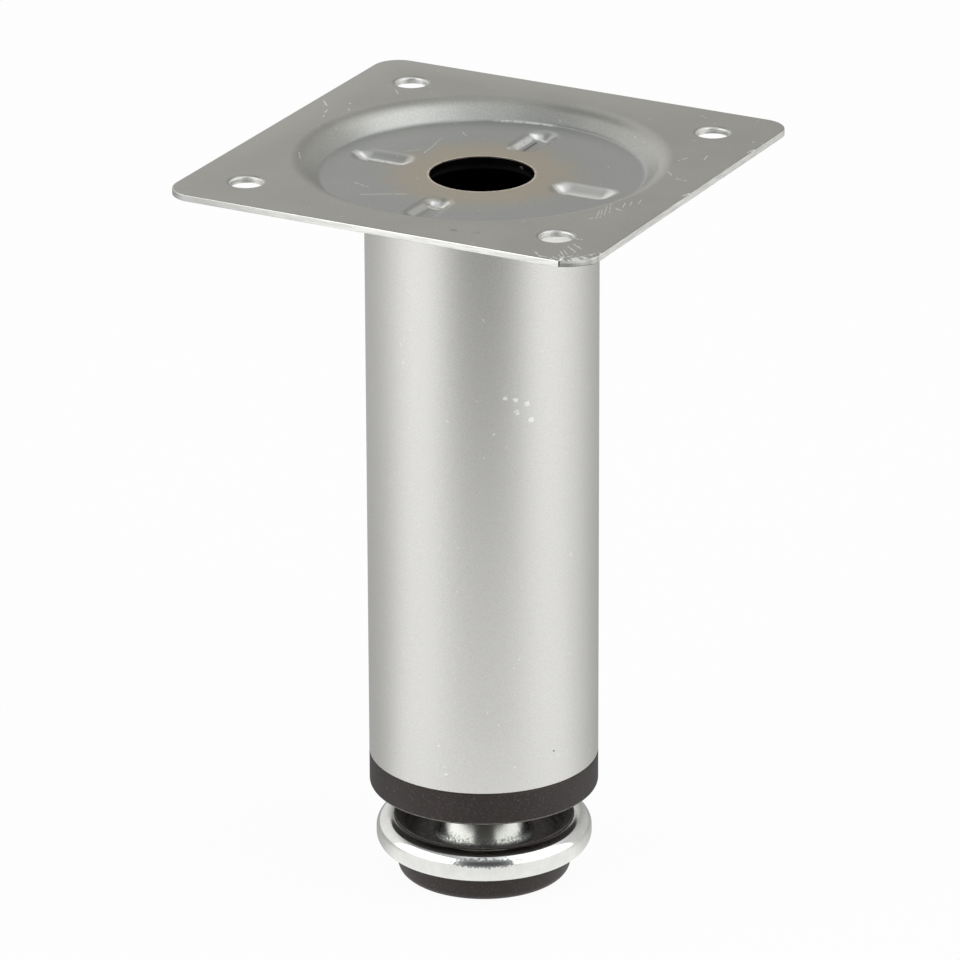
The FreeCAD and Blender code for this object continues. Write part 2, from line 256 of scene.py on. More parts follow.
class Value:
    """A shader socket that takes part in sums."""

    def __init__(self, shading, socket):
        self.shading = shading
        self.socket = socket

    def _maths(self, operation, first, second=None):
        inputs = {0: first}
        if second is not None:
            inputs[1] = second
        return self.shading.node("ShaderNodeMath", {"operation": operation}, inputs)

    def __add__(self, other):
        return self._maths("ADD", self, other)

    def __radd__(self, other):
        return self._maths("ADD", other, self)

    def __sub__(self, other):
        return self._maths("SUBTRACT", self, other)

    def __rsub__(self, other):
        return self._maths("SUBTRACT", other, self)

    def __mul__(self, other):
        return self._maths("MULTIPLY", self, other)

    def __rmul__(self, other):
        return self._maths("MULTIPLY", other, self)

    def __truediv__(self, other):
        return self._maths("DIVIDE", self, other)

    def __pow__(self, other):
        return self._maths("POWER", self, other)

    def maximum(self, other):
        return self._maths("MAXIMUM", self, other)

    def minimum(self, other):
        return self._maths("MINIMUM", self, other)

    def size(self):
        return self._maths("ABSOLUTE", self)

    def rise(self, low, high):
        """0 under low, 1 over high and a smooth rise between them."""
        return self.shading.node(
            "ShaderNodeMapRange",
            {"interpolation_type": "SMOOTHSTEP"},
            {"Value": self, "From Min": low, "From Max": high},
        )

    def fall(self, low, high):
        """1 under low, 0 over high and a smooth fall between them."""
        return 1 - self.rise(low, high)

    def band(self, begin, end):
        """1 between two spans, with a rise over the first and a fall over the second."""
        return self.rise(*begin) * self.fall(*end)


class Shading:
    """A node tree that is written as sums of sockets."""

    def __init__(self, tree):
        self.tree = tree

    def feed(self, socket, value):
        """Links a Value to a socket, or sets a plain one on it."""
        if isinstance(value, Value):
            self.tree.links.new(value.socket, socket)
        else:
            socket.default_value = value

    def node(self, kind, settings=None, inputs=None, output=0):
        """A node of a kind, with its settings, then its sockets' values or links."""
        made = self.tree.nodes.new(kind)
        for name, value in (settings or {}).items():
            if name == "stops":
                set_stops(made.color_ramp, value)
            else:
                setattr(made, name, value)
        for name, value in (inputs or {}).items():
            self.feed(made.inputs[name], value)
        return Value(self, made.outputs[output])

    def axes(self, coordinates="Object"):
        """X, Y and Z of a point in the leg's frame, or of the sky's direction if Generated."""
        place = self.node("ShaderNodeTexCoord", output=coordinates)
        return [self.node("ShaderNodeSeparateXYZ", inputs={0: place}, output=axis)
                for axis in range(3)]

    def noise(self, scale, detail=2.0, roughness=0.5, stretch=(1.0, 1.0, 1.0)):
        """Noise round 0.5, its scale in grains per metre."""
        place = self.node("ShaderNodeTexCoord", output="Object")
        stretched = self.node("ShaderNodeVectorMath", {"operation": "MULTIPLY"},
                              {0: place, 1: stretch})
        return self.node(
            "ShaderNodeTexNoise",
            inputs={"Vector": stretched, "Scale": scale, "Detail": detail, "Roughness": roughness},
        )

    def ramp(self, value, stops):
        """A level that runs through stops of (value, level), given in rising order."""
        first = stops[0][0]
        span = stops[-1][0] - first
        shares = [((place - first) / span, level) for place, level in stops]
        return self.node("ShaderNodeValToRGB", {"stops": shares}, {0: (value - first) / span})

    def blend(self, amount, first, second):
        """Colour second over colour first by an amount from 0 to 1."""
        return self.node(
            "ShaderNodeMix", {"data_type": "RGBA"}, {0: amount, 6: first, 7: second}, output=2
        )

    def bump(self, height, distance, strength):
        """A normal tilted by a height that runs from 0 to 1 over a distance."""
        return self.node(
            "ShaderNodeBump", inputs={"Height": height, "Distance": distance, "Strength": strength}
        )


class Finish(Shading):
    """A surface finish: one Principled shader and the nodes that feed it."""

    def __init__(self, name, **constants):
        self.material = bpy.data.materials.new(name)
        self.material.use_nodes = True
        super().__init__(self.material.node_tree)
        self.shader = self.tree.nodes["Principled BSDF"]
        self.set(**constants)

    def set(self, **inputs):
        """Feeds shader sockets; a name's underscores stand for the spaces in the socket's name."""
        for name, value in inputs.items():
            self.feed(self.shader.inputs[name.replace("_", " ")], value)


def rgb(red, green, blue):
    return (red, green, blue, 1.0)


def grey(level):
    return (level, level, level, 1.0)


def set_stops(color_ramp, stops):
    """Gives a colour ramp its stops of (place from 0 to 1, level), in rising order."""
    for _ in stops[2:]:
        color_ramp.elements.new(0.5)
    for element, (place, level) in zip(color_ramp.elements, stops):
        element.position = place
        element.color = grey(level)


def length_of(first, second):
    """The length of two distances at right angles."""
    return (first * first + second * second) ** 0.5


def toward_viewer(x, y):
    """Distance from the leg's axis, then how far the direction there is toward the
    photograph's viewer and to the right, each from -1 to 1."""
    reach = length_of(x, y).maximum(0.001 * MM)
    toward = (x * math.sin(CAMERA_TURN) - y * math.cos(CAMERA_TURN)) / reach
    sideways = (x * math.cos(CAMERA_TURN) + y * math.sin(CAMERA_TURN)) / reach
    return reach, toward, sideways


def from_screw_hole(x, y):
    """Distance from the nearest screw hole's axis."""
    return length_of(x.size() - SCREW_SPACING / 2, y.size() - SCREW_SPACING / 2)


# Shares of a mark's half width or radius between which it fades out
SCRATCH_FADE = (0.4, 1.0)
SPOT_FADE = (0.5, 1.2)


def scratch_mask(along, across, start, end, half_width):
    """1 on a straight scratch between two points of a surface's own pair of coordinates."""
    run = (end[0] - start[0], end[1] - start[1])
    square = run[0] ** 2 + run[1] ** 2
    share = ((along - start[0]) * run[0] + (across - start[1]) * run[1]) / square
    share = share.maximum(0.0).minimum(1.0)
    off_along = along - start[0] - share * run[0]
    off_across = across - start[1] - share * run[1]
    away = length_of(off_along, off_across)
    return away.fall(half_width * SCRATCH_FADE[0], half_width * SCRATCH_FADE[1])


def union(masks):
    """The strongest of several masks at each place."""
    total = masks[0]
    for mask in masks[1:]:
        total = total.maximum(mask)
    return total


def spot_mask(place, centre, radius):
    """1 inside a small round mark on a piece's surface."""
    away = place.shading.node("ShaderNodeVectorMath", {"operation": "DISTANCE"},
                              {0: place, 1: centre}, output="Value")
    return away.fall(radius * SPOT_FADE[0], radius * SPOT_FADE[1])


# Marks on the plate, each from one point to another and its half width, in millimetres
LAND_SCRATCHES = [
    ((36.3, -46.3), (39.2, -49.0), 0.26), ((39.0, -48.6), (40.7, -48.7), 0.22),
    ((41.5, -47.7), (43.4, -48.9), 0.20), ((41.9, -46.2), (43.8, -48.1), 0.16),
    ((41.6, -44.5), (43.6, -46.9), 0.18), ((41.8, -43.5), (43.9, -45.7), 0.14),
    ((41.5, -41.1), (44.6, -43.5), 0.28), ((41.8, -39.2), (44.5, -41.1), 0.22),
    ((40.1, -35.8), (41.6, -36.4), 0.18), ((42.0, -36.1), (42.3, -36.1), 0.26),
    ((37.8, -24.8), (38.2, -23.2), 0.18), ((39.3, -24.2), (37.5, -18.9), 0.12),
    ((39.5, -22.6), (37.7, -18.0), 0.12), ((39.6, -21.0), (37.6, -15.6), 0.12),
    ((39.9, -19.2), (37.7, -14.0), 0.10), ((40.0, -16.2), (42.0, -16.9), 0.26),
    ((40.8, -14.8), (40.0, -12.0), 0.14), ((41.8, -13.5), (40.9, -10.7), 0.12),
    ((42.7, -11.4), (42.2, -8.9), 0.12), ((38.9, 9.8), (40.9, 7.8), 0.22),
    ((42.7, 6.1), (45.2, 6.0), 0.20), ((38.2, 16.7), (39.0, 19.2), 0.16),
    ((42.7, 19.6), (42.2, 22.3), 0.16), ((46.8, 34.8), (47.2, 34.6), 0.26),
    ((48.8, -2.8), (49.3, -0.8), 0.30), ((48.9, 28.1), (49.3, 30.3), 0.34),
    ((-47.4, 16.7), (-45.2, 14.2), 0.24),
    ((-43.4, 10.0), (-43.7, 11.7), 0.22), ((-42.4, 7.3), (-42.6, 8.4), 0.16),
    ((-41.8, 18.0), (-41.3, 17.7), 0.24), ((-39.9, 14.2), (-39.5, 13.8), 0.24),
    ((-37.1, 30.4), (-35.2, 28.0), 0.20), ((-36.1, -14.6), (-34.3, -17.2), 0.14),
]
FLOOR_SCRATCHES = [
    ((-16.7, -23.2), (-13.5, -21.3), 0.16), ((-13.5, -21.3), (-8.0, -18.4), 0.18),
    ((-21.3, -17.1), (-17.3, -18.4), 0.14), ((-21.4, 5.0), (-18.3, 8.9), 0.12),
    ((-17.2, 6.3), (-17.4, 9.8), 0.14), ((-17.4, 9.8), (-18.4, 16.4), 0.10),
    ((-16.0, 21.8), (-14.5, 20.3), 0.18), ((21.7, 16.2), (22.0, 16.0), 0.18),
]
STAINS = [
    ((15.3, -43.1), (17.4, -43.0), 0.9), ((20.0, -43.6), (21.4, -42.2), 0.9),
    ((47.8, -42.5), (48.0, -42.5), 0.3),
]
CORNER_RUB = ((42.6, -49.3), (49.4, -42.6), 1.6)

# Painted highlights, painted sheen and painted shadow lines along the pressed grooves
GROOVE_PAINTED_HIGHLIGHTS = [
    ((-30.2, 0.5), (-28.4, 0.2), 1.5), ((-28.2, 0.8), (-17.6, 0.8), 0.75),
    ((-2.3, 17.4), (-2.3, 26.6), 0.95), ((-2.3, 28.0), (-1.0, 28.8), 1.1),
    ((-1.0, 28.6), (1.9, 27.2), 0.5), ((17.6, 0.8), (18.9, 0.3), 1.5),
    ((19.8, 0.5), (29.0, 0.5), 0.6), ((29.0, 0.5), (30.3, 2.0), 0.5),
    ((-1.0, -18.9), (1.0, -18.6), 1.4), ((-1.5, -20.6), (0.4, -20.4), 0.6),
]
GROOVE_PAINTED_SHEENS = [
    ((-27.2, 2.2), (-19.0, 2.2), 2.2), ((19.0, 2.0), (29.4, 2.0), 2.4),
    ((-2.4, -27.2), (-2.2, -21.5), 0.9), ((-1.2, 17.6), (-1.2, 19.0), 1.6),
]
GROOVE_PAINTED_SHADOWS = [
    ((-0.6, 18.6), (-0.7, 26.6), 0.34), ((1.9, -19.2), (2.3, -22.6), 0.34),
]


def scratches(x, y, lines):
    """1 on any of a list's marks."""
    masks = []
    for start, end, half_width in lines:
        first = (start[0] * MM, start[1] * MM)
        last = (end[0] * MM, end[1] * MM)
        masks.append(scratch_mask(x, y, first, last, half_width * MM))
    return union(masks)


# Painted highlights along the back of the dish's crease: each fades in and out over two spans of X
CREASE_LINE_OUT = 0.1 * MM
CREASE_LINE_FADE = (0.25 * MM, 0.7 * MM)
CREASE_BACK_HALF = (0.0, 4 * MM)
BACK_LINE = ((-15 * MM, -11 * MM), (-2 * MM, 1 * MM))
LEFT_LINE = ((-34 * MM, -30 * MM), (-20 * MM, -14 * MM))
LEFT_LINE_LEVEL = 0.35

# Where the plate's tints and marks fade, in distances from its axis, its edges or a hole's axis
BORDER_FADE = (40 * MM, 48 * MM)
BORDER_BACK = (-10 * MM, 60 * MM)
DISH_TINT_FADE = (33 * MM, 40 * MM)
FLOOR_EDGE = ((20 * MM, 32 * MM), (34 * MM, 35.5 * MM))
ROLLOVER_FADE = (4.2 * MM, 4.5 * MM)
HEAT_FADE = (14 * MM, 25 * MM)
SHEEN_GAIN = (-6 * MM, 16 * MM)
BORE_FADE = (CENTRE_HOLE + 0.02 * MM, CENTRE_HOLE + 0.1 * MM)
BORE_TOP = (DISH_TOP - 0.35 * MM, DISH_TOP - 0.15 * MM)
HOLE_RIM_FADE = (0.25 * MM, 0.7 * MM)
LAND_MARKS_FROM = (37 * MM, 38 * MM)
FLOOR_MARKS_TO = (29 * MM, 30 * MM)

# Colours of the plate, of the marks on it, and of the light and shade painted on it
SHEET_DARK = rgb(0.470, 0.458, 0.418)
SHEET_LIGHT = rgb(0.516, 0.502, 0.454)
SHEET_GRAIN = rgb(0.61, 0.60, 0.555)
BACK_BORDER_PAINTED_LIGHT = rgb(0.565, 0.553, 0.505)
DISH_PAINTED_SHADE = rgb(0.430, 0.440, 0.422)
FLOOR_EDGE_PAINTED_LIGHT = rgb(0.600, 0.605, 0.580)
HEAT_BROWN = rgb(0.530, 0.455, 0.330)
ROLLOVER_GREY = rgb(0.36, 0.36, 0.345)
GROOVE_SHEEN = rgb(0.86, 0.84, 0.79)
GROOVE_SHADE = rgb(0.10, 0.10, 0.10)
PAINTED_HIGHLIGHT_WHITE = rgb(0.97, 0.96, 0.93)
HOLE_RIM = rgb(0.88, 0.79, 0.69)
STAIN_DARK = rgb(0.16, 0.16, 0.15)
BARE_SCRATCH_AND_HIGHLIGHT = rgb(0.95, 0.95, 0.92)
SHADE_AND_SPOT_BLACK = rgb(0.02, 0.02, 0.02)


def plate_tints(finish, x, y, cloud, grain):
    """Browned by the weld; painted light lightens the back and the dish floor's far edge, painted
    shade makes the dish cooler.
    """
    radius, facing, _ = toward_viewer(x, y)
    uneven = finish.noise(160.0, detail=4.0, roughness=0.65) - 0.5
    base = finish.blend(cloud.rise(0.35, 0.7), SHEET_DARK, SHEET_LIGHT)
    # Painted light: the outer border is painted lighter toward the back.
    border_painted_light = x.size().maximum(y.size()).rise(*BORDER_FADE) * (y - x).rise(*BORDER_BACK)
    base = finish.blend(border_painted_light * 0.9, base, BACK_BORDER_PAINTED_LIGHT)
    # Painted shade: the dish is painted darker and cooler than the land round it.
    dish = (radius + uneven * 4 * MM).fall(*DISH_TINT_FADE)
    base = finish.blend(dish, base, DISH_PAINTED_SHADE)
    # Painted light: the dish floor's edge on the side away from the viewer is painted lighter, a
    # painted reflection of the far wall.
    far_side_painted_light = (0.25 + facing.fall(-0.95, 0.05) * 0.75) * facing.fall(0.2, 0.6)
    base = finish.blend(radius.band(*FLOOR_EDGE) * far_side_painted_light * 0.65, base, FLOOR_EDGE_PAINTED_LIGHT)
    rolled = from_screw_hole(x, y).fall(*ROLLOVER_FADE)
    base = finish.blend(rolled * 0.3, base, ROLLOVER_GREY)
    brown = (radius + uneven * 9 * MM).fall(*HEAT_FADE)
    base = finish.blend(brown * 0.9, base, HEAT_BROWN)
    return finish.blend(grain.rise(0.35, 0.75) * 0.5, base, SHEET_GRAIN)


def centre_hole_marks(finish, base, radius, z, worn):
    """The centre hole's unlit bore and the light rim at its upper edge."""
    bore = radius.fall(*BORE_FADE) * z.fall(*BORE_TOP)
    base = finish.blend(bore, base, SHADE_AND_SPOT_BLACK)
    rim = (radius - CENTRE_HOLE).size().fall(*HOLE_RIM_FADE)
    return finish.blend(rim * (1 - bore) * worn * 0.8, base, HOLE_RIM)


def crease_highlights(x, y, radius, worn):
    """Painted highlights along the crease: broken at the back, whole at the left."""
    line = (radius - DISH_FLOOR - CREASE_LINE_OUT).size().fall(*CREASE_LINE_FADE)
    line = line * y.rise(*CREASE_BACK_HALF)
    return line * (worn * x.band(*BACK_LINE)).maximum(x.band(*LEFT_LINE) * LEFT_LINE_LEVEL)


def bare_marks_and_highlights(finish, x, y, radius, worn):
    """1 where scratches, flecks and rubs have bared the plate's bright metal, and on the crease's
    painted highlights.
    """
    on_land = scratches(x, y, LAND_SCRATCHES) * radius.rise(*LAND_MARKS_FROM)
    on_floor = scratches(x, y, FLOOR_SCRATCHES) * radius.fall(*FLOOR_MARKS_TO)
    flecks = finish.noise(620.0, detail=1.0).rise(0.755, 0.775)
    rub = scratches(x, y, [CORNER_RUB]) * finish.noise(1100.0, detail=3.0).rise(0.46, 0.58)
    return union([on_land.maximum(on_floor) * worn, crease_highlights(x, y, radius, worn),
                  flecks * 0.4, rub])


def plate_finish():
    """Satin rolled steel with a heat tint round the centre hole, rubs and scratches, and painted
    light and shade in the dish and along its grooves.
    """
    finish = Finish("plate_steel_satin", Metallic=1.0)
    x, y, z = finish.axes()
    radius = length_of(x, y)
    grain = finish.noise(2600.0, detail=3.0)
    cloud = finish.noise(55.0, detail=3.0, roughness=0.6)
    worn = finish.noise(900.0).rise(0.30, 0.55)
    base = plate_tints(finish, x, y, cloud, grain)
    # Painted light and shade: a sheen on the grooves' walls, dark shadow lines beside them and
    # bright highlights at their ends.
    sheen = scratches(x, y, GROOVE_PAINTED_SHEENS) * (0.36 + x.rise(*SHEEN_GAIN) * 0.6)
    base = finish.blend(sheen, base, GROOVE_SHEEN)
    base = finish.blend(scratches(x, y, GROOVE_PAINTED_SHADOWS) * 0.85, base, GROOVE_SHADE)
    groove_highlight = scratches(x, y, GROOVE_PAINTED_HIGHLIGHTS) * (0.6 + worn * 0.4)
    base = finish.blend(groove_highlight, base, PAINTED_HIGHLIGHT_WHITE)
    base = centre_hole_marks(finish, base, radius, z, worn)
    stains = scratches(x, y, STAINS) * finish.noise(500.0, detail=3.0).rise(0.42, 0.58)
    base = finish.blend(stains * 0.4, base, STAIN_DARK)
    # Real scratches, flecks and a rub, together with the crease's painted highlights.
    marks = bare_marks_and_highlights(finish, x, y, radius, worn)
    base = finish.blend(marks * 0.9, base, BARE_SCRATCH_AND_HIGHLIGHT)
    height = grain * 0.4 + finish.noise(700.0) * 0.6
    finish.set(
        Base_Color=base,
        Roughness=0.27 + cloud * 0.08 + grain * 0.06 + marks * 0.15 - groove_highlight * 0.08,
        Normal=finish.bump(height, 0.008 * MM, 0.5),
    )
    return finish.material


# The sheared edge's colours, and the spans over which its parts fade
EDGE_STREAK_DARK = rgb(0.76, 0.76, 0.73)
EDGE_STREAK_LIGHT = rgb(0.90, 0.90, 0.87)
EDGE_DULL = rgb(0.34, 0.34, 0.33)
KNOCK_FACE = rgb(0.52, 0.52, 0.50)
KNOCK_SHADE = rgb(0.03, 0.03, 0.03)
EDGE_LEFT_FADE = (-50 * MM, 5 * MM)
EDGE_FRONT_FADE = (-PLATE_STRAIGHT - 2 * MM, -PLATE_STRAIGHT + 8 * MM)
HOLE_WALL_FADE = (4 * MM, 5 * MM)


def cut_edge_finish():
    """The sheared edge: bright streaks dragged along the sheet, dull in the screw holes and
    toward the left corner, and the knocked corner's grey face with painted shadow at its foot and
    step."""
    finish = Finish("plate_cut_edge", Metallic=1.0)
    x, y, z = finish.axes()
    drag = finish.noise(1100.0, detail=3.0, stretch=(0.25, 0.25, 2.5))
    base = finish.blend(drag.rise(0.35, 0.65), EDGE_STREAK_DARK, EDGE_STREAK_LIGHT)
    past_side = x - PLATE_STRAIGHT
    knocked = past_side.rise(0.0, 0.1 * MM) * (y + PLATE_STRAIGHT).fall(0.0, 1.5 * MM)
    base = finish.blend(knocked, base, KNOCK_FACE)
    # Painted shadow: the knocked face is painted near black along its foot and at the step where
    # it starts.
    low = (z - PLATE_UNDERSIDE).fall(0.05 * MM, 0.16 * MM)
    step = past_side.fall(0.12 * MM, 0.24 * MM)
    base = finish.blend(knocked * low.maximum(step), base, KNOCK_SHADE)
    front_left = x.fall(*EDGE_LEFT_FADE) * y.fall(*EDGE_FRONT_FADE)
    in_hole = from_screw_hole(x, y).fall(*HOLE_WALL_FADE)
    dull = (front_left * 0.7).maximum(in_hole * drag.rise(0.40, 0.65) * 0.7)
    base = finish.blend(dull, base, EDGE_DULL)
    finish.set(
        Base_Color=base,
        Roughness=0.30 + drag * 0.2 + knocked * 0.1 + in_hole * 0.1,
        Normal=finish.bump(drag, 0.02 * MM, 0.5),
    )
    return finish.material


# Chips in the tube's finish: azimuth in degrees, height and radius in millimetres
TUBE_CHIPS = [
    (-51.1, 119.7, 0.65), (-46.0, 119.1, 0.80), (-40.0, 117.9, 0.80), (-45.3, 116.2, 0.85),
    (-38.0, 114.1, 0.85), (-56.9, 111.6, 0.34), (-61.4, 106.3, 0.34), (-81.4, 32.6, 0.50),
    (-81.8, 34.3, 0.34), (4.0, 32.0, 0.30), (-60.3, 47.6, 0.24), (-85.0, 39.1, 0.30),
    (118.0, 88.0, 0.5), (170.0, 131.0, 0.4), (60.0, 61.0, 0.35), (215.0, 101.0, 0.45),
]
TUBE_DARK_SPOT = (-25.1, 36.4, 0.22)
SATIN_DARK = rgb(0.71, 0.705, 0.68)
SATIN_LIGHT = rgb(0.79, 0.785, 0.755)
SATIN_CLOUD = rgb(0.73, 0.725, 0.70)
CHIP_BRIGHT = rgb(0.97, 0.97, 0.96)
TUBE_END_INSIDE = tube_high.z - TUBE_WALL


def tube_point(azimuth, height):
    """A point on the tube's outside at an azimuth in degrees and a height in millimetres."""
    angle = math.radians(azimuth)
    return (TUBE_RADIUS * math.cos(angle), TUBE_RADIUS * math.sin(angle), height * MM)


def tube_finish():
    """Fine satin silver with small chips where the finish has come off."""
    finish = Finish("tube_satin_silver", Metallic=1.0)
    x, y, z = finish.axes()
    grain = finish.noise(3600.0, detail=2.0)
    cloud = finish.noise(30.0, detail=2.0)
    ragged = finish.noise(2300.0, detail=3.0) - 0.5
    place = finish.node("ShaderNodeTexCoord", output="Object")
    base = finish.blend(grain.rise(0.3, 0.7), SATIN_DARK, SATIN_LIGHT)
    base = finish.blend(cloud.rise(0.4, 0.7) * 0.15, base, SATIN_CLOUD)
    chips = union([spot_mask(place, tube_point(azimuth, height), radius * MM)
                   for azimuth, height, radius in TUBE_CHIPS])
    flecks = finish.noise(800.0, detail=1.0).rise(0.765, 0.785)
    chips = (chips + ragged * 2.2).rise(0.72, 0.92).maximum(flecks * 0.6)
    base = finish.blend(chips, base, CHIP_BRIGHT)
    azimuth, height, spot = TUBE_DARK_SPOT
    dark = spot_mask(place, tube_point(azimuth, height), spot * MM)
    radius = length_of(x, y)
    # Painted shade: the bore and the inside of the closed end are painted near black; the dark
    # spot is a real mark.
    inside = radius.fall(TUBE_BORE + 0.2 * MM, TUBE_BORE + 0.5 * MM)
    inside = inside * z.fall(TUBE_END_INSIDE - 0.5 * MM, TUBE_END_INSIDE)
    inside = inside.maximum(radius.fall(TUBE_END_HOLE + 0.5 * MM, TUBE_END_HOLE + 0.7 * MM))
    base = finish.blend(dark.maximum(inside), base, SHADE_AND_SPOT_BLACK)
    finish.set(
        Base_Color=base,
        Roughness=0.36 + grain * 0.06 + chips * 0.2 + inside * 0.3,
        Normal=finish.bump(grain * 0.5 - chips * 0.8, 0.006 * MM, 0.5),
    )
    return finish.material


# The mouldings' faintly warm black, and what shows on it
BLACK = rgb(0.0120, 0.0098, 0.0094)
BLACK_CLOUD = rgb(0.0162, 0.0134, 0.0127)
BLACK_PORES = rgb(0.10, 0.09, 0.085)
DUST = rgb(0.22, 0.21, 0.20)
LIP_PAINTED_HIGHLIGHT = rgb(0.16, 0.15, 0.14)
PLUG_ROUGHNESS = 0.42
PAD_ROUGHNESS = 0.40


def black_plastic(name, roughness, lip_level=None):
    """Moulded black plastic, fine grained, with a painted highlight along its lower lip where it
    has one.
    """
    finish = Finish(name, Metallic=0.0, Specular_Tint=rgb(1.0, 0.88, 0.84))
    pores = finish.noise(1900.0, detail=3.0)
    cloud = finish.noise(120.0)
    base = finish.blend(cloud.rise(0.3, 0.7), BLACK, BLACK_CLOUD)
    base = finish.blend(pores.rise(0.52, 0.70) * 0.3, base, BLACK_PORES)
    dust = finish.noise(1500.0, detail=1.0).rise(0.735, 0.775)
    base = finish.blend(dust * 0.35, base, DUST)
    if lip_level is not None:
        x, y, z = finish.axes()
        # Painted highlight: a light line along the lower lip's rounded edge.
        lip = (z - lip_level).size().fall(0.08 * MM, 0.22 * MM)
        lip = lip * length_of(x, y).rise(TUBE_RADIUS - 1.0 * MM, TUBE_RADIUS - 0.6 * MM)
        base = finish.blend(lip * pores.rise(0.3, 0.5), base, LIP_PAINTED_HIGHLIGHT)
    finish.set(
        Base_Color=base,
        Roughness=roughness + pores * 0.12,
        Normal=finish.bump(pores, 0.012 * MM, 0.6),
    )
    return finish.material


# The liner's black, the painted light that lightens its floor, and the dark and light specks on
# both
LINER_BLACK = rgb(0.080, 0.072, 0.068)
LINER_FLOOR_PAINTED_LIGHT = rgb(0.230, 0.212, 0.204)
LINER_SPECKLE = rgb(0.030, 0.028, 0.027)
LINER_DUST = rgb(0.55, 0.53, 0.50)


def liner_finish():
    """The black liner, its floor painted lighter grey as painted light against the shade under the
    plug.
    """
    finish = Finish("liner_black", Metallic=0.0, Specular_Tint=rgb(1.0, 0.90, 0.87))
    x, y, z = finish.axes()
    speckle = finish.noise(1500.0, detail=3.0)
    # Painted light: the floor is painted lighter grey to make up for the shade under the plug.
    floor = z.fall(LINER_TOP + 0.2 * MM, LINER_TOP + 1.6 * MM)
    base = finish.blend(floor, LINER_BLACK, LINER_FLOOR_PAINTED_LIGHT)
    base = finish.blend(speckle.rise(0.35, 0.65) * 0.45, base, LINER_SPECKLE)
    dust = finish.noise(1300.0, detail=1.0).rise(0.70, 0.75)
    base = finish.blend(dust * 0.5, base, LINER_DUST)
    finish.set(
        Base_Color=base,
        Roughness=0.62 + speckle * 0.12,
        Normal=finish.bump(speckle, 0.02 * MM, 0.7),
    )
    return finish.material


# The dark speckled painted reflection on the front of the foot's bead, the hem under it, and the
# zinc's colours
REFLECTION_SPOT_HALF = 7.2 * MM
REFLECTION_SPOT_RISE = 1.05 * MM
REFLECTION_SPOT_LEVEL = 11.25 * MM
HEM_LEVEL = cup_low.z + 0.75 * MM
ZINC_DARK = rgb(0.80, 0.805, 0.77)
ZINC_LIGHT = rgb(0.88, 0.88, 0.845)
ZINC_NECK = rgb(0.53, 0.54, 0.505)
ZINC_STAIN_AND_SHADE = rgb(0.13, 0.14, 0.13)
ZINC_PITS = rgb(0.40, 0.41, 0.39)
ZINC_PAINTED_REFLECTION = rgb(0.17, 0.19, 0.19)
ZINC_HEM = rgb(0.30, 0.30, 0.28)


def cup_finish():
    """Bright zinc plate: duller on the neck, stained and painted darker where the flare runs into
    the liner, with a painted reflection on the bead's front.
    """
    finish = Finish("cup_bright_zinc", Metallic=1.0)
    x, y, z = finish.axes()
    radius, facing, sideways = toward_viewer(x, y)
    neck = radius.fall(14 * MM, 17 * MM)
    ripple = finish.noise(260.0, detail=3.0, roughness=0.6)
    grain = finish.noise(3000.0, detail=3.0)
    speckle = finish.noise(1700.0, detail=3.0)
    base = finish.blend(ripple.rise(0.3, 0.75), ZINC_DARK, ZINC_LIGHT)
    base = finish.blend(neck, base, ZINC_NECK)
    # A stain and painted shade together: the flare's foot is painted dark where it runs into the
    # liner.
    stain_and_shade = neck * (radius + (speckle - 0.5) * 3 * MM).rise(9.6 * MM, 11.0 * MM)
    base = finish.blend(stain_and_shade * 0.85, base, ZINC_STAIN_AND_SHADE)
    pits = speckle.rise(0.58, 0.72) * (0.12 + neck * 0.12)
    base = finish.blend(pits, base, ZINC_PITS)
    # Painted reflection: a dark speckled patch on the bead's front, toward the viewer.
    across = sideways * radius / REFLECTION_SPOT_HALF
    reflection_spot = length_of(across, (z - REFLECTION_SPOT_LEVEL) / REFLECTION_SPOT_RISE)
    reflection_spot = (reflection_spot + (speckle - 0.5) * 2.2).fall(0.75, 1.0) * facing.rise(0.0, 0.1)
    reflection_spot = reflection_spot * radius.rise(20 * MM, 21 * MM)
    base = finish.blend(reflection_spot * 0.75, base, ZINC_PAINTED_REFLECTION)
    hem = (z - HEM_LEVEL).size().fall(0.06 * MM, 0.2 * MM) * speckle.rise(0.35, 0.5)
    base = finish.blend(hem * 0.6, base, ZINC_HEM)
    finish.set(
        Base_Color=base,
        Roughness=0.10 + grain * 0.06 + neck * 0.09 + stain_and_shade * 0.2 + reflection_spot * 0.15,
        Normal=finish.bump(ripple * 0.5 + speckle * 0.5, 0.010 * MM, 0.45),
    )
    return finish.material


def plain_zinc(name):
    """Dull zinc plate for the stud and the insert."""
    finish = Finish(name, Metallic=1.0)
    grain = finish.noise(900.0, detail=3.0)
    base = finish.blend(grain.rise(0.3, 0.7), rgb(0.55, 0.55, 0.53), rgb(0.68, 0.68, 0.66))
    finish.set(
        Base_Color=base,
        Roughness=0.3 + grain * 0.15,
        Normal=finish.bump(grain, 0.01 * MM, 0.5),
    )
    return finish.material


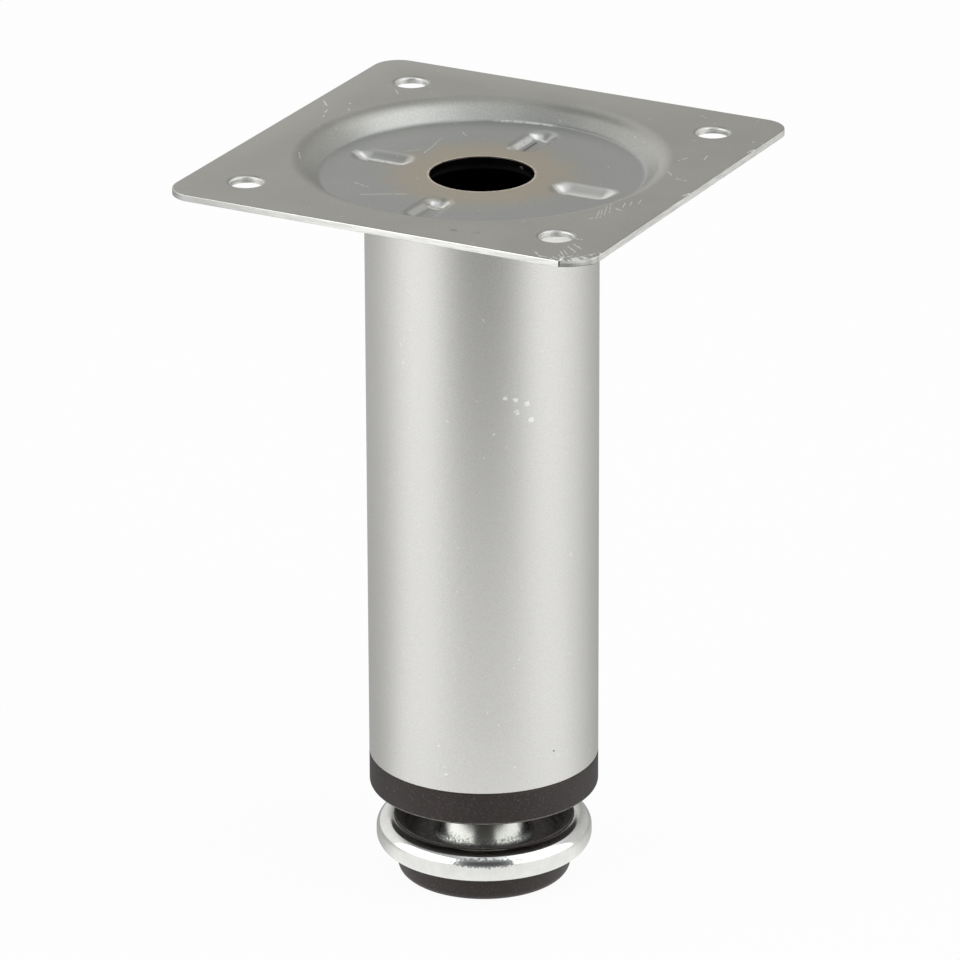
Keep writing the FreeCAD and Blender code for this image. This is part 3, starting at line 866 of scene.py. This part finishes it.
def dish_level(radius, sheet_depth):
    """Height of the pressed dish at a radius, this far under the plate's upper face."""
    crease_z = DISH_TOP + DISH_CREASE
    shoulder_z = PLATE_TOP - DISH_SHOULDER
    crease_radius = DISH_CREASE + sheet_depth
    shoulder_radius = DISH_SHOULDER - sheet_depth
    crease_end = DISH_FLOOR + crease_radius * math.sin(DISH_WALL)
    shoulder_end = SHOULDER_START - shoulder_radius * math.sin(DISH_WALL)
    if radius <= DISH_FLOOR:
        return DISH_TOP - sheet_depth
    if radius <= crease_end:
        return crease_z - math.sqrt(crease_radius ** 2 - (radius - DISH_FLOOR) ** 2)
    if radius >= SHOULDER_START:
        return PLATE_TOP - sheet_depth
    if radius >= shoulder_end:
        return shoulder_z + math.sqrt(shoulder_radius ** 2 - (SHOULDER_START - radius) ** 2)
    wall_start = crease_z - crease_radius * math.cos(DISH_WALL)
    return wall_start + (radius - crease_end) * math.tan(DISH_WALL)


def groove_drop(radius, angle, sheet_depth):
    """How far the nearest radial groove lowers a point of the dish floor."""
    sideways = abs((angle / QUARTER + 0.5) % 1 - 0.5) * QUARTER
    along = radius * math.cos(sideways)
    across = radius * math.sin(sideways)
    near = GROOVE_INNER + GROOVE_HALF
    far = GROOVE_OUTER - GROOVE_HALF
    beyond = max(near - along, along - far, 0.0)
    spread = sheet_depth * math.tan(GROOVE_SLOPE / 2)
    share = (GROOVE_HALF + spread - math.hypot(beyond, across)) / (GROOVE_HALF - GROOVE_FLOOR_HALF)
    share = min(max(share, 0.0), 1.0)
    eased = share * share * (3 - 2 * share)
    return GROOVE_DEPTH * (share + eased) / 2


# The knocked corner: shares of its arc where the knock starts and begins to fade, and its depths
KNOCK_STEP = 0.02
KNOCK_BACK = 0.35 * MM
KNOCK_FLAT = 0.65 * MM
KNOCK_DROP = 0.65 * MM
KNOCK_SLOPE = 1.5 * MM
KNOCK_END = 0.7

# Rings of the dish's grid round the grooves
RING_GAP = 0.2 * MM
GROOVE_LEAD = 0.6 * MM
GROOVE_START = 0.3 * MM
GROOVE_FINISH = 0.5 * MM
GROOVE_TAIL = 1.0 * MM


def plate_outline():
    """Points round the plate's outline from +X, -Y on, each with its outward direction
    and the share of the knocked corner's arc that lies behind it."""
    points = []
    for quarter in range(4):
        turn = Matrix.Rotation(QUARTER * quarter, 2)
        centre = Vector((PLATE_STRAIGHT, -PLATE_STRAIGHT))
        shares = graded(0, 1, CORNER_STEPS)
        if quarter == 0:
            shares.insert(1, KNOCK_STEP)
        for share in shares:
            angle = QUARTER * (share - 1)
            out = Vector((math.cos(angle), math.sin(angle)))
            knock_share = share if quarter == 0 else 0.0
            points.append((turn @ (centre + out * PLATE_CORNER), turn @ out, knock_share))
        for along in graded(-PLATE_STRAIGHT, PLATE_STRAIGHT, SIDE_STEPS)[1:-1]:
            points.append((turn @ Vector((PLATE_HALF, along)), turn @ Vector((1, 0)), 0.0))
    return points


def knock_amount(share):
    """How strongly the knock reaches a point of its corner: all at once, fading at the end."""
    if share < KNOCK_STEP:
        return 0.0
    left = min(1.0, (1 - share) / (1 - KNOCK_END))
    return left * left * (3 - 2 * left)


def plate_mesh():
    """The dished plate: a fine round grid for the dish, plain strips round every edge."""
    bm = bmesh.new()
    radii = [CENTRE_HOLE] + graded(CENTRE_HOLE + RING_GAP, GROOVE_INNER - GROOVE_LEAD, 6)
    radii += graded(GROOVE_INNER - GROOVE_START, GROOVE_OUTER + GROOVE_FINISH, 42)
    radii += graded(GROOVE_OUTER + GROOVE_TAIL, DISH_FLOOR, 4)
    crease_end = DISH_FLOOR + (DISH_CREASE + PLATE_SHEET) * math.sin(DISH_WALL)
    radii += graded(DISH_FLOOR, crease_end, 8)[1:]
    radii += graded(crease_end, SHOULDER_START, 16)[1:]

    def skin(sheet_depth):
        rings = []
        for radius in radii:
            def level(angle, radius=radius):
                return dish_level(radius, sheet_depth) - groove_drop(radius, angle, sheet_depth)
            rings.append((radius, level))
        return ring_grid(bm, rings, DISH_SEGMENTS, closed=False)

    upper = skin(0.0)
    lower = skin(PLATE_SHEET)
    join_rings(bm, upper[0], lower[0])

    top_border, bottom_border = border_strips(bm)
    top_loops = [top_border]
    bottom_loops = [bottom_border]
    for sign_x in (-1, 1):
        for sign_y in (-1, 1):
            centre = Vector((sign_x, sign_y)) * SCREW_SPACING / 2
            top_rim, bottom_rim = hole_strips(bm, centre)
            top_loops.append(top_rim)
            bottom_loops.append(bottom_rim)
    fill_land(bm, top_loops + [upper[-1]])
    fill_land(bm, bottom_loops + [lower[-1]])
    return finished_mesh(bm, "mounting_plate_pressed", sharp_degrees=40)


def join_rings(bm, first, second, slot=0):
    """Faces between two loops of as many vertices, with the finish in a slot."""
    count = len(first)
    for index in range(count):
        following = (index + 1) % count
        face = bm.faces.new([first[index], first[following], second[following], second[index]])
        face.material_index = slot


def border_strips(bm):
    """The plate's outer edge: rolled top edge, sheared side, and the knocked corner."""
    loops = [[] for _ in range(EDGE_STEPS + 3)]
    for whole, out, share in plate_outline():
        knocked = knock_amount(share)
        point = whole - out * knocked * (KNOCK_BACK + KNOCK_FLAT * math.sin(2 * QUARTER * share))
        inset = PLATE_EDGE + knocked * KNOCK_SLOPE
        drop = PLATE_EDGE + knocked * KNOCK_DROP
        for step in range(EDGE_STEPS + 1):
            angle = QUARTER * step / EDGE_STEPS
            place = point - out * inset * (1 - math.sin(angle))
            level = PLATE_TOP - drop * (1 - math.cos(angle))
            loops[step].append(bm.verts.new((place.x, place.y, level)))
        side_end = PLATE_UNDERSIDE + PLATE_LOWER_EDGE
        tucked = point - out * PLATE_LOWER_EDGE
        loops[EDGE_STEPS + 1].append(bm.verts.new((point.x, point.y, side_end)))
        loops[EDGE_STEPS + 2].append(bm.verts.new((tucked.x, tucked.y, PLATE_UNDERSIDE)))
    for index, (upper, lower) in enumerate(zip(loops, loops[1:])):
        join_rings(bm, upper, lower, slot=1 if index >= CUT_START else 0)
    return loops[0], loops[-1]


def hole_strips(bm, centre):
    """A screw hole's rolled-over top edge and its wall."""
    section = [
        (SCREW_HOLE + SCREW_ROLLOVER - SCREW_ROLLOVER * math.sin(angle),
         PLATE_TOP - SCREW_ROLLOVER * (1 - math.cos(angle)))
        for angle in graded(0, QUARTER, 6)
    ] + [(SCREW_HOLE, PLATE_UNDERSIDE)]
    loops = []
    for radius, level in section:
        loop = []
        for index in range(HOLE_SEGMENTS):
            angle = TURN * index / HOLE_SEGMENTS
            place = centre + Vector((math.cos(angle), math.sin(angle))) * radius
            loop.append(bm.verts.new((place.x, place.y, level)))
        loops.append(loop)
    for index, (upper, lower) in enumerate(zip(loops, loops[1:])):
        join_rings(bm, upper, lower, slot=1 if index >= CUT_START else 0)
    return loops[0], loops[-1]


def fill_land(bm, loops):
    """Fills the flat land inside the first loop and outside the others."""
    verts = []
    owners = []
    edges = []
    for owner, loop in enumerate(loops):
        start = len(verts)
        edges += [(start + index, start + (index + 1) % len(loop)) for index in range(len(loop))]
        verts += loop
        owners += [owner] * len(loop)
    places = [vert.co.to_2d() for vert in verts]
    made = geometry.delaunay_2d_cdt(places, edges, [], 1, SAME_PLACE)
    triangles, sources = made[2], made[3]
    for triangle in triangles:
        corners = [sources[index][0] for index in triangle]
        touched = {owners[corner] for corner in corners}
        if len(touched) > 1 or touched == {0}:
            bm.faces.new([verts[corner] for corner in corners])


def make_plate():
    """The mounting plate, its flat land shaded flat right up to the rolled edges."""
    plate = piece("plate_pressed", plate_mesh(), "leg",
                  [plate_finish(), cut_edge_finish()], "mounting_plate")
    weighted = plate.modifiers.new("flat_land_normals", "WEIGHTED_NORMAL")
    weighted.keep_sharp = True
    weighted.weight = 80


def make_tube():
    """The tube, closed in under the plate, with its lower edge slightly rounded."""
    top = tube_high.z
    bottom = tube_low.z
    bend_centre = (TUBE_RADIUS - TUBE_END_BEND, top - TUBE_END_BEND)

    def pressed(radius, level, depth):
        def height(angle):
            return level - groove_drop(radius, angle, PLATE_SHEET + depth)
        return radius, height

    end_radii = graded(TUBE_END_HOLE, bend_centre[0], 26)
    outer = [pressed(radius, top, 0.0) for radius in end_radii]
    outer += [pressed(radius, level, 0.0)
              for radius, level in arc(bend_centre, TUBE_END_BEND, QUARTER, 0, 10)[1:]]
    lower = arc((TUBE_RADIUS - TUBE_LOWER_EDGE, bottom + TUBE_LOWER_EDGE), TUBE_LOWER_EDGE,
                0, -QUARTER, 4)
    lower += arc((TUBE_BORE + TUBE_LOWER_EDGE, bottom + TUBE_LOWER_EDGE), TUBE_LOWER_EDGE,
                 -QUARTER, -2 * QUARTER, 4)
    side = [(TUBE_RADIUS, level)
            for level in graded(top - TUBE_SIDE_START, lower[0][1], 8)[:-1]]
    inner = [pressed(radius, level, TUBE_WALL)
             for radius, level in arc(bend_centre, TUBE_END_BEND - TUBE_WALL, 0, QUARTER, 6)]
    inner += [pressed(radius, top - TUBE_WALL, TUBE_WALL) for radius in end_radii[::-1][1:]]
    mesh = turned_mesh("tube_closed_end", outer + side + lower + inner, TUBE_SEGMENTS)
    piece("tube_satin", mesh, "leg", [tube_finish()], "tube")


def hexagon_radius(flats_half):
    """The reach of a hexagon's side at an angle, as a function."""
    def radius(angle):
        sideways = (angle + TURN / 12) % (TURN / 6) - TURN / 12
        return flats_half / math.cos(TURN / 12 - abs(sideways))
    return radius


def make_end_plug():
    """The black plug: flange, barbed spigot, webs and the hub with the insert's pocket."""
    bottom = plug_low.z
    seat = tube_low.z
    neck_recess = neck_radius(bottom - TRAVEL_IN) + NECK_CLEARANCE
    recess_top = NECK_TOP + TRAVEL_IN + NECK_CLEARANCE
    passage = STUD_RADIUS + STUD_PASSAGE
    spigot = TUBE_BORE - SPIGOT_CLEARANCE
    cavity = spigot - SPIGOT_WALL
    cavity_floor = bottom + PLUG_BASE
    hub = neck_recess + HUB_WALL
    hub_top = nut_high.z + HUB_LIP
    pocket = hexagon_radius(NUT_FLATS_HALF + POCKET_CLEARANCE)
    rows = [(passage, nut_low.z), (passage, recess_top), (neck_recess, recess_top),
            (neck_recess, bottom + RECESS_CHAMFER), (neck_recess + RECESS_CHAMFER, bottom)]
    rows += arc((TUBE_RADIUS - FLANGE_EDGE, bottom + FLANGE_EDGE), FLANGE_EDGE, -QUARTER, 0, 8)
    rows += [(TUBE_RADIUS, seat - FLANGE_CHAMFER), (TUBE_RADIUS - FLANGE_CHAMFER, seat),
             (spigot, seat)]
    pitch = (plug_high.z - seat) / (BARB_COUNT + 1)
    for index in range(BARB_COUNT):
        level = seat + pitch * (index + 1) - BARB_HEIGHT / 2
        rows += [(spigot, level), (TUBE_BORE - BARB_CLEARANCE, level),
                 (spigot, level + BARB_HEIGHT)]
    rows += [(spigot, plug_high.z), (cavity, plug_high.z), (cavity, cavity_floor),
             (hub, cavity_floor), (hub, hub_top), (pocket, hub_top), (pocket, nut_low.z)]
    bm = bmesh.new()
    ring_grid(bm, rows, PLUG_SEGMENTS, closed=True)
    for index in range(WEB_COUNT):
        add_web(bm, TURN * index / WEB_COUNT, (hub - WEB_OVERLAP, cavity + WEB_OVERLAP),
                (cavity_floor, hub_top))
    mesh = finished_mesh(bm, "end_plug_moulded")
    finish = black_plastic("plug_black", PLUG_ROUGHNESS, lip_level=bottom + FLANGE_EDGE / 2)
    piece("plug_moulded", mesh, "leg", [finish], "end_plug")


def add_web(bm, angle, radii, levels):
    """A flat web between two radii and two levels, at an angle about the axis."""
    turn = Matrix.Rotation(angle, 3, "Z")
    corners = [bm.verts.new(turn @ Vector((radius, side, level)))
               for radius in radii for side in (-WEB_HALF, WEB_HALF) for level in levels]
    for face in ((0, 1, 3, 2), (4, 6, 7, 5), (0, 4, 5, 1),
                 (2, 3, 7, 6), (1, 5, 7, 3), (0, 2, 6, 4)):
        bm.faces.new([corners[index] for index in face])


def make_insert():
    """The hexagon insert, its corners turned off at both faces, with a plain round bore."""
    corners = hexagon_radius(NUT_FLATS_HALF)

    def chamfer(angle):
        return (corners(angle) - NUT_FLATS_HALF) * math.tan(TURN / 12)

    bore = STUD_RADIUS + THREAD_CLEARANCE
    face_edge = NUT_FLATS_HALF - NUT_FACE_EDGE
    rows = [(bore, nut_low.z), (face_edge, nut_low.z),
            (corners, lambda angle: nut_low.z + chamfer(angle)),
            (corners, lambda angle: nut_high.z - chamfer(angle)),
            (face_edge, nut_high.z), (bore, nut_high.z)]
    rows += [(bore, level) for level in graded(nut_high.z, nut_low.z, 8)[1:-1]]
    mesh = turned_mesh("insert_hexagon", rows, NUT_SEGMENTS)
    piece("insert_hexagon", mesh, "leg", [plain_zinc("insert_zinc")],
          "threaded_insert")


def make_stud():
    """The stud with its thread cut as a true helix, and its riveted lower end."""
    ceiling = NECK_TOP - CUP_SHEET
    top = stud_high.z
    rows = [(0.0, ceiling - RIVET_HEIGHT), (RIVET_HEAD - RIVET_HEIGHT / 2, ceiling - RIVET_HEIGHT),
            (RIVET_HEAD, ceiling - RIVET_HEIGHT / 2), (RIVET_HEAD, ceiling),
            (SHANK_RADIUS, ceiling), (SHANK_RADIUS, NECK_TOP)]
    count = int((top - NECK_TOP) / THREAD_PITCH * THREAD_ROWS)
    for index in range(count + 1):
        level = NECK_TOP + (top - NECK_TOP) * index / count

        def radius(angle, level=level):
            wave = (level / THREAD_PITCH - angle / TURN) % 1
            groove = max(0.0, 1 - abs(2 * wave - 1) * THREAD_FLANK)
            tip = STUD_RADIUS - max(0.0, level - (top - STUD_TIP))
            return min(STUD_RADIUS - THREAD_DEPTH * groove, tip)
        rows.append((radius, level))
    rows.append((0.0, top))
    mesh = turned_mesh("stud_threaded", rows, STUD_SEGMENTS, closed=False)
    piece("stud_threaded", mesh, "screw_foot", [plain_zinc("stud_zinc")],
          "threaded_stud")


def neck_radius(level, from_wall=0.0):
    """Radius of the tapered neck at a level, or of a line this far outside its wall."""
    climb = (level - FLARE_CENTRE[1]) * math.sin(NECK_TAPER)
    return FLARE_CENTRE[0] - (NECK_FLARE - from_wall + climb) / math.cos(NECK_TAPER)


def cup_skin(depth):
    """The foot cup's section this far under its outer skin: neck, flare, crease, bead, tuck."""
    corner_level = NECK_TOP - NECK_BEND
    neck_corner = (neck_radius(corner_level, -NECK_BEND), corner_level)
    tuck = (BEAD_CENTRE[0], BEAD_CENTRE[1] - BEAD_SKIRT)
    rows = [(SHANK_RADIUS, NECK_TOP - depth)]
    rows += arc(neck_corner, NECK_BEND - depth, QUARTER, NECK_TAPER, 8)
    rows += arc(FLARE_CENTRE, NECK_FLARE + depth, 2 * QUARTER + NECK_TAPER, 3 * QUARTER, 18)
    rows += arc(CREASE_CENTRE, CUP_CREASE + depth, -QUARTER, 0, 6)
    rows += arc(BEAD_CENTRE, BEAD_SECTION - depth, 2 * QUARTER, 0, 32)
    rows += arc(tuck, BEAD_SECTION - depth, 0, -QUARTER - BEAD_TUCK, 18)
    return rows


def make_foot_cup():
    """The foot cup, pressed from one even sheet."""
    rows = cup_skin(0.0) + cup_skin(CUP_SHEET)[::-1]
    mesh = turned_mesh("foot_cup_pressed", rows, FOOT_SEGMENTS)
    piece("cup_pressed", mesh, "screw_foot", [cup_finish()], "foot_cup")


def make_foot_liner():
    """The thin black liner on the cup's floor, its lip rolled over the bead's inner side."""
    flare_skin = NECK_FLARE - LINER_CLEARANCE
    bead_skin = BEAD_SECTION + LINER_CLEARANCE
    neck_lip = 2 * QUARTER + math.asin((FLARE_CENTRE[1] - LINER_TOP) / flare_skin)
    wall = BEAD_CENTRE[0] - bead_skin - LINER_WALL
    inner_crease = (wall - LINER_CREASE, LINER_TOP + LINER_CREASE)
    lip_reach = bead_skin + LINER_WALL / 2
    lip_centre = (BEAD_CENTRE[0] + lip_reach * math.cos(LINER_LIP_TURN),
                  BEAD_CENTRE[1] + lip_reach * math.sin(LINER_LIP_TURN))
    rows = arc(FLARE_CENTRE, flare_skin, neck_lip, 3 * QUARTER, 6)
    rows += arc(CREASE_CENTRE, CUP_CREASE - LINER_CLEARANCE, -QUARTER, 0, 6)
    rows += arc(BEAD_CENTRE, bead_skin, 2 * QUARTER, LINER_LIP_TURN, 14)
    rows += arc(lip_centre, LINER_WALL / 2,
                LINER_LIP_TURN - 2 * QUARTER, LINER_LIP_TURN, 6)[1:-1]
    rows += arc(BEAD_CENTRE, bead_skin + LINER_WALL, LINER_LIP_TURN, 2 * QUARTER, 14)
    rows += arc(inner_crease, LINER_CREASE, 0, -QUARTER, 8)
    mesh = turned_mesh("foot_liner_moulded", rows, FOOT_SEGMENTS)
    piece("liner_moulded", mesh, "screw_foot", [liner_finish()], "foot_liner")


def make_foot_pad():
    """The black pad under the cup, with its post inside the cup's neck."""
    low_radius = PAD_RADIUS - PAD_FLARE
    post_top = NECK_TOP - CUP_SHEET - RIVET_HEIGHT - PAD_HEADROOM
    post_depth = CUP_SHEET + PAD_GAP
    rows = [(0.0, 0.0), (low_radius - PAD_EDGE - PAD_FLAT_MARGIN, 0.0)]
    rows += arc((low_radius - PAD_EDGE, PAD_EDGE), PAD_EDGE, -QUARTER, 0, 12)
    rows += arc((PAD_RADIUS - PAD_TOP_EDGE, PAD_TOP - PAD_TOP_EDGE), PAD_TOP_EDGE, 0, QUARTER, 4)
    rows += arc(FLARE_CENTRE, NECK_FLARE + post_depth, 3 * QUARTER, 2 * QUARTER + NECK_TAPER, 18)
    rows += [(neck_radius(post_top, -post_depth), post_top), (0.0, post_top)]
    mesh = turned_mesh("foot_pad_moulded", rows, PAD_SEGMENTS, closed=False)
    finish = black_plastic("pad_black", PAD_ROUGHNESS)
    piece("pad_moulded", mesh, "pad", [finish], "foot_pad")


def make_camera():
    """The photograph's camera."""
    back = Vector((math.sin(CAMERA_TURN) * math.cos(CAMERA_RISE),
                   -math.cos(CAMERA_TURN) * math.cos(CAMERA_RISE), math.sin(CAMERA_RISE)))
    data = bpy.data.cameras.new("photo_camera")
    camera = bpy.data.objects.new("photo_camera", data)
    bpy.context.scene.collection.objects.link(camera)
    forward = -back
    right = forward.cross(Vector((0, 0, 1))).normalized()
    up = right.cross(forward)
    ahead = forward * math.cos(CAMERA_YAW) + right * math.sin(CAMERA_YAW)
    right = right * math.cos(CAMERA_YAW) - forward * math.sin(CAMERA_YAW)
    level_right = right * math.cos(CAMERA_ROLL) + up * math.sin(CAMERA_ROLL)
    level_up = up * math.cos(CAMERA_ROLL) - right * math.sin(CAMERA_ROLL)
    axes = Matrix((level_right, level_up, -ahead)).transposed().to_4x4()
    place = Vector((0, 0, AIM_HEIGHT)) + back * CAMERA_DISTANCE
    camera.matrix_world = Matrix.Translation(place) @ axes
    data.sensor_width = SENSOR
    data.lens = FOCAL_PIXELS / FRAME_PIXELS * SENSOR
    data.clip_start = 0.01
    data.clip_end = 50
    bpy.context.scene.camera = camera


# The studio as the metal mirrors it. Stops are (how far toward the viewer or to the right, level);
# far means far from the leg, and spans say where one level fades into the next.
FLOOR_REACH = 3.0
LEFT_FLOOR_STOPS = [(-1.0, 0.43), (-0.64, 0.50), (-0.42, 0.53),
                    (-0.14, 0.64), (0.21, 0.91), (0.35, 0.97)]
RIGHT_FLOOR_STOPS = [(-1.0, 0.43), (-0.77, 0.47), (-0.6, 0.54),
                     (-0.31, 0.71), (0.21, 0.955), (0.35, 0.97)]
LEFT_SIDE = (-0.1, 0.1)
FRONT_SIDE = (0.55, 0.98)
FRONT_LEFT_DELAY = 0.05
NEAR_BACK_SIDE = (-0.3, 0.2)
NEAR_BACK_FADE = (0.05, 0.35)
NEAR_BACK_LOSS = 0.15
FAR_BACK_SIDE = (-0.9, -0.5)
FAR_BACK_FADE = (0.7, 1.2)
FAR_BACK_LEFT_GLOW = 0.80
FAR_BACK_RIGHT_GLOW = 0.46
FRONT_GLOW = 0.85
FRONT_FAR_GLOW = 0.27
FRONT_FADE = (0.20, 0.41)
UNDER_FOOT_GLOW = 0.10
UNDER_FOOT_FADE = (0.02, 0.08)
FLOOR_OWN_GLOW = 0.95
HORIZON_STOPS = [(-0.8, 0.90), (-0.25, 0.79), (0.0, 0.55), (0.22, 0.38), (0.5, 0.52), (0.8, 0.60)]
CEILING_FROM = (0.5, 0.8)
BACK_CEILING_GLOW = 0.54
FRONT_CEILING_GLOW = 0.80
CEILING_FORWARD = (-0.4, 0.3)
RIGHT_CEILING_STOPS = [(0.12, 0.0), (0.42, 0.72), (0.8, 0.15)]
RIGHT_CEILING_FORWARD = (-0.7, -0.2)
LEFT_BACK_CEILING_GAIN = 0.25
LEFT_BACK_CEILING = ((-0.7, -0.3), (-0.3, -0.1))
LEFT_CEILING_LOSS = 0.33
LEFT_CEILING = (-0.45, -0.1)
ROOM_GLOW = 0.13
ROOM_SIDE = (0.84, 0.94)
ROOM_TOP = (0.52, 0.66)
COOL_CEILING = rgb(0.97, 1.0, 1.03)
COOL_FROM = (0.45, 0.8)
WHITE = rgb(1.0, 1.0, 1.0)
PANEL_TURN = 67
PANEL_WIDTH = 1.5
LEFT_PANEL_HEIGHT = 1.2
RIGHT_PANEL_HEIGHT = 1.5
PANEL_DISTANCE = 1.0
PANEL_GLOW = 1.0


def mirrored_floor(finish, x, y):
    """The floor's level as the metal mirrors it, by its direction and distance from the leg."""
    distance, facing, sideways = toward_viewer(x, y)
    left = sideways.fall(*LEFT_SIDE)
    front = facing.rise(FRONT_SIDE[0] + left * FRONT_LEFT_DELAY, FRONT_SIDE[1])
    on_right = finish.ramp(facing, RIGHT_FLOOR_STOPS)
    sides = on_right + (finish.ramp(facing, LEFT_FLOOR_STOPS) - on_right) * left
    near_back = facing.fall(*NEAR_BACK_SIDE) * distance.fall(*NEAR_BACK_FADE)
    sides = sides * (1 - near_back * NEAR_BACK_LOSS)
    far_back = FAR_BACK_RIGHT_GLOW + (FAR_BACK_LEFT_GLOW - FAR_BACK_RIGHT_GLOW) * left
    far = facing.fall(*FAR_BACK_SIDE) * distance.rise(*FAR_BACK_FADE)
    sides = sides + (far_back - sides) * far
    ahead = FRONT_GLOW + (FRONT_FAR_GLOW - FRONT_GLOW) * distance.rise(*FRONT_FADE)
    ahead = ahead + UNDER_FOOT_GLOW * distance.fall(*UNDER_FOOT_FADE)
    return sides * (1 - front) + ahead * front


def make_floor():
    """A pale floor that the lens sees nearly white, with the leg's soft shadow on it."""
    mesh = bpy.data.meshes.new("floor")
    corners = [(side * FLOOR_REACH, end * FLOOR_REACH, 0)
               for side, end in ((-1, -1), (1, -1), (1, 1), (-1, 1))]
    mesh.from_pydata(corners, [], [(0, 1, 2, 3)])
    floor = bpy.data.objects.new("floor", mesh)
    bpy.context.scene.collection.objects.link(floor)
    finish = Finish("floor_white", Base_Color=grey(0.80), Roughness=0.9)
    x, y, _ = finish.axes()
    seen = finish.node("ShaderNodeLightPath", output="Is Camera Ray")
    glossy = finish.node("ShaderNodeLightPath", output="Is Glossy Ray")
    level = seen + glossy * mirrored_floor(finish, x, y)
    glow = finish.node("ShaderNodeEmission", inputs={"Color": level, "Strength": 1.0})
    plain = Value(finish, finish.shader.outputs[0])
    share = seen * FLOOR_OWN_GLOW + glossy
    surface = finish.node("ShaderNodeMixShader", inputs={0: share, 1: plain, 2: glow})
    finish.feed(finish.tree.nodes["Material Output"].inputs["Surface"], surface)
    mesh.materials.append(finish.material)


def make_world():
    """White to the lens; to the metal, a grey studio with a dark room on the viewer's side."""
    world = bpy.data.worlds.new("studio")
    bpy.context.scene.world = world
    world.use_nodes = True
    sky = Shading(world.node_tree)
    x, y, z = sky.axes("Generated")
    distance, facing, sideways = toward_viewer(x, y)
    forward = facing * distance
    right = sideways * distance
    horizon = sky.ramp(right, HORIZON_STOPS)
    ceiling_rise = (FRONT_CEILING_GLOW - BACK_CEILING_GLOW) * forward.rise(*CEILING_FORWARD)
    on_right = sky.ramp(right, RIGHT_CEILING_STOPS) * forward.rise(*RIGHT_CEILING_FORWARD)
    left_back = forward.fall(*LEFT_BACK_CEILING[0]) * right.fall(*LEFT_BACK_CEILING[1])
    upper = BACK_CEILING_GLOW + ceiling_rise + on_right + left_back * LEFT_BACK_CEILING_GAIN
    upper = upper - LEFT_CEILING_LOSS * right.fall(*LEFT_CEILING)
    around = horizon + (upper - horizon) * z.rise(*CEILING_FROM)
    room = facing.rise(*ROOM_SIDE) * z.fall(*ROOM_TOP)
    studio = around + (ROOM_GLOW - around) * room
    seen = sky.node("ShaderNodeLightPath", output="Is Camera Ray")
    background = sky.tree.nodes["Background"]
    cool = sky.blend(z.rise(*COOL_FROM), WHITE, COOL_CEILING)
    sky.feed(background.inputs["Color"], sky.blend(seen, cool, WHITE))
    sky.feed(background.inputs["Strength"], studio + (1 - studio) * seen)


def softbox(name, azimuth, height):
    """An upright soft lamp that stands on the floor and faces the leg."""
    turn = CAMERA_TURN + math.radians(azimuth)
    out = Vector((math.sin(turn), -math.cos(turn), 0))
    data = bpy.data.lights.new(name, "AREA")
    data.shape = "RECTANGLE"
    data.size = PANEL_WIDTH
    data.size_y = height
    data.energy = PANEL_GLOW * math.pi * PANEL_WIDTH * height
    lamp = bpy.data.objects.new(name, data)
    bpy.context.scene.collection.objects.link(lamp)
    lamp.location = out * PANEL_DISTANCE + Vector((0, 0, height / 2))
    lamp.rotation_mode = "QUATERNION"
    lamp.rotation_quaternion = (-out).to_track_quat("-Z", "Y")
    lamp.visible_camera = False


make_plate()
make_tube()
make_end_plug()
make_insert()
make_stud()
make_foot_cup()
make_foot_liner()
make_foot_pad()
make_floor()
make_world()
softbox("left_softbox", -PANEL_TURN, LEFT_PANEL_HEIGHT)
softbox("right_softbox", PANEL_TURN, RIGHT_PANEL_HEIGHT)
make_camera()
bpy.context.scene.view_settings.view_transform = "Standard"
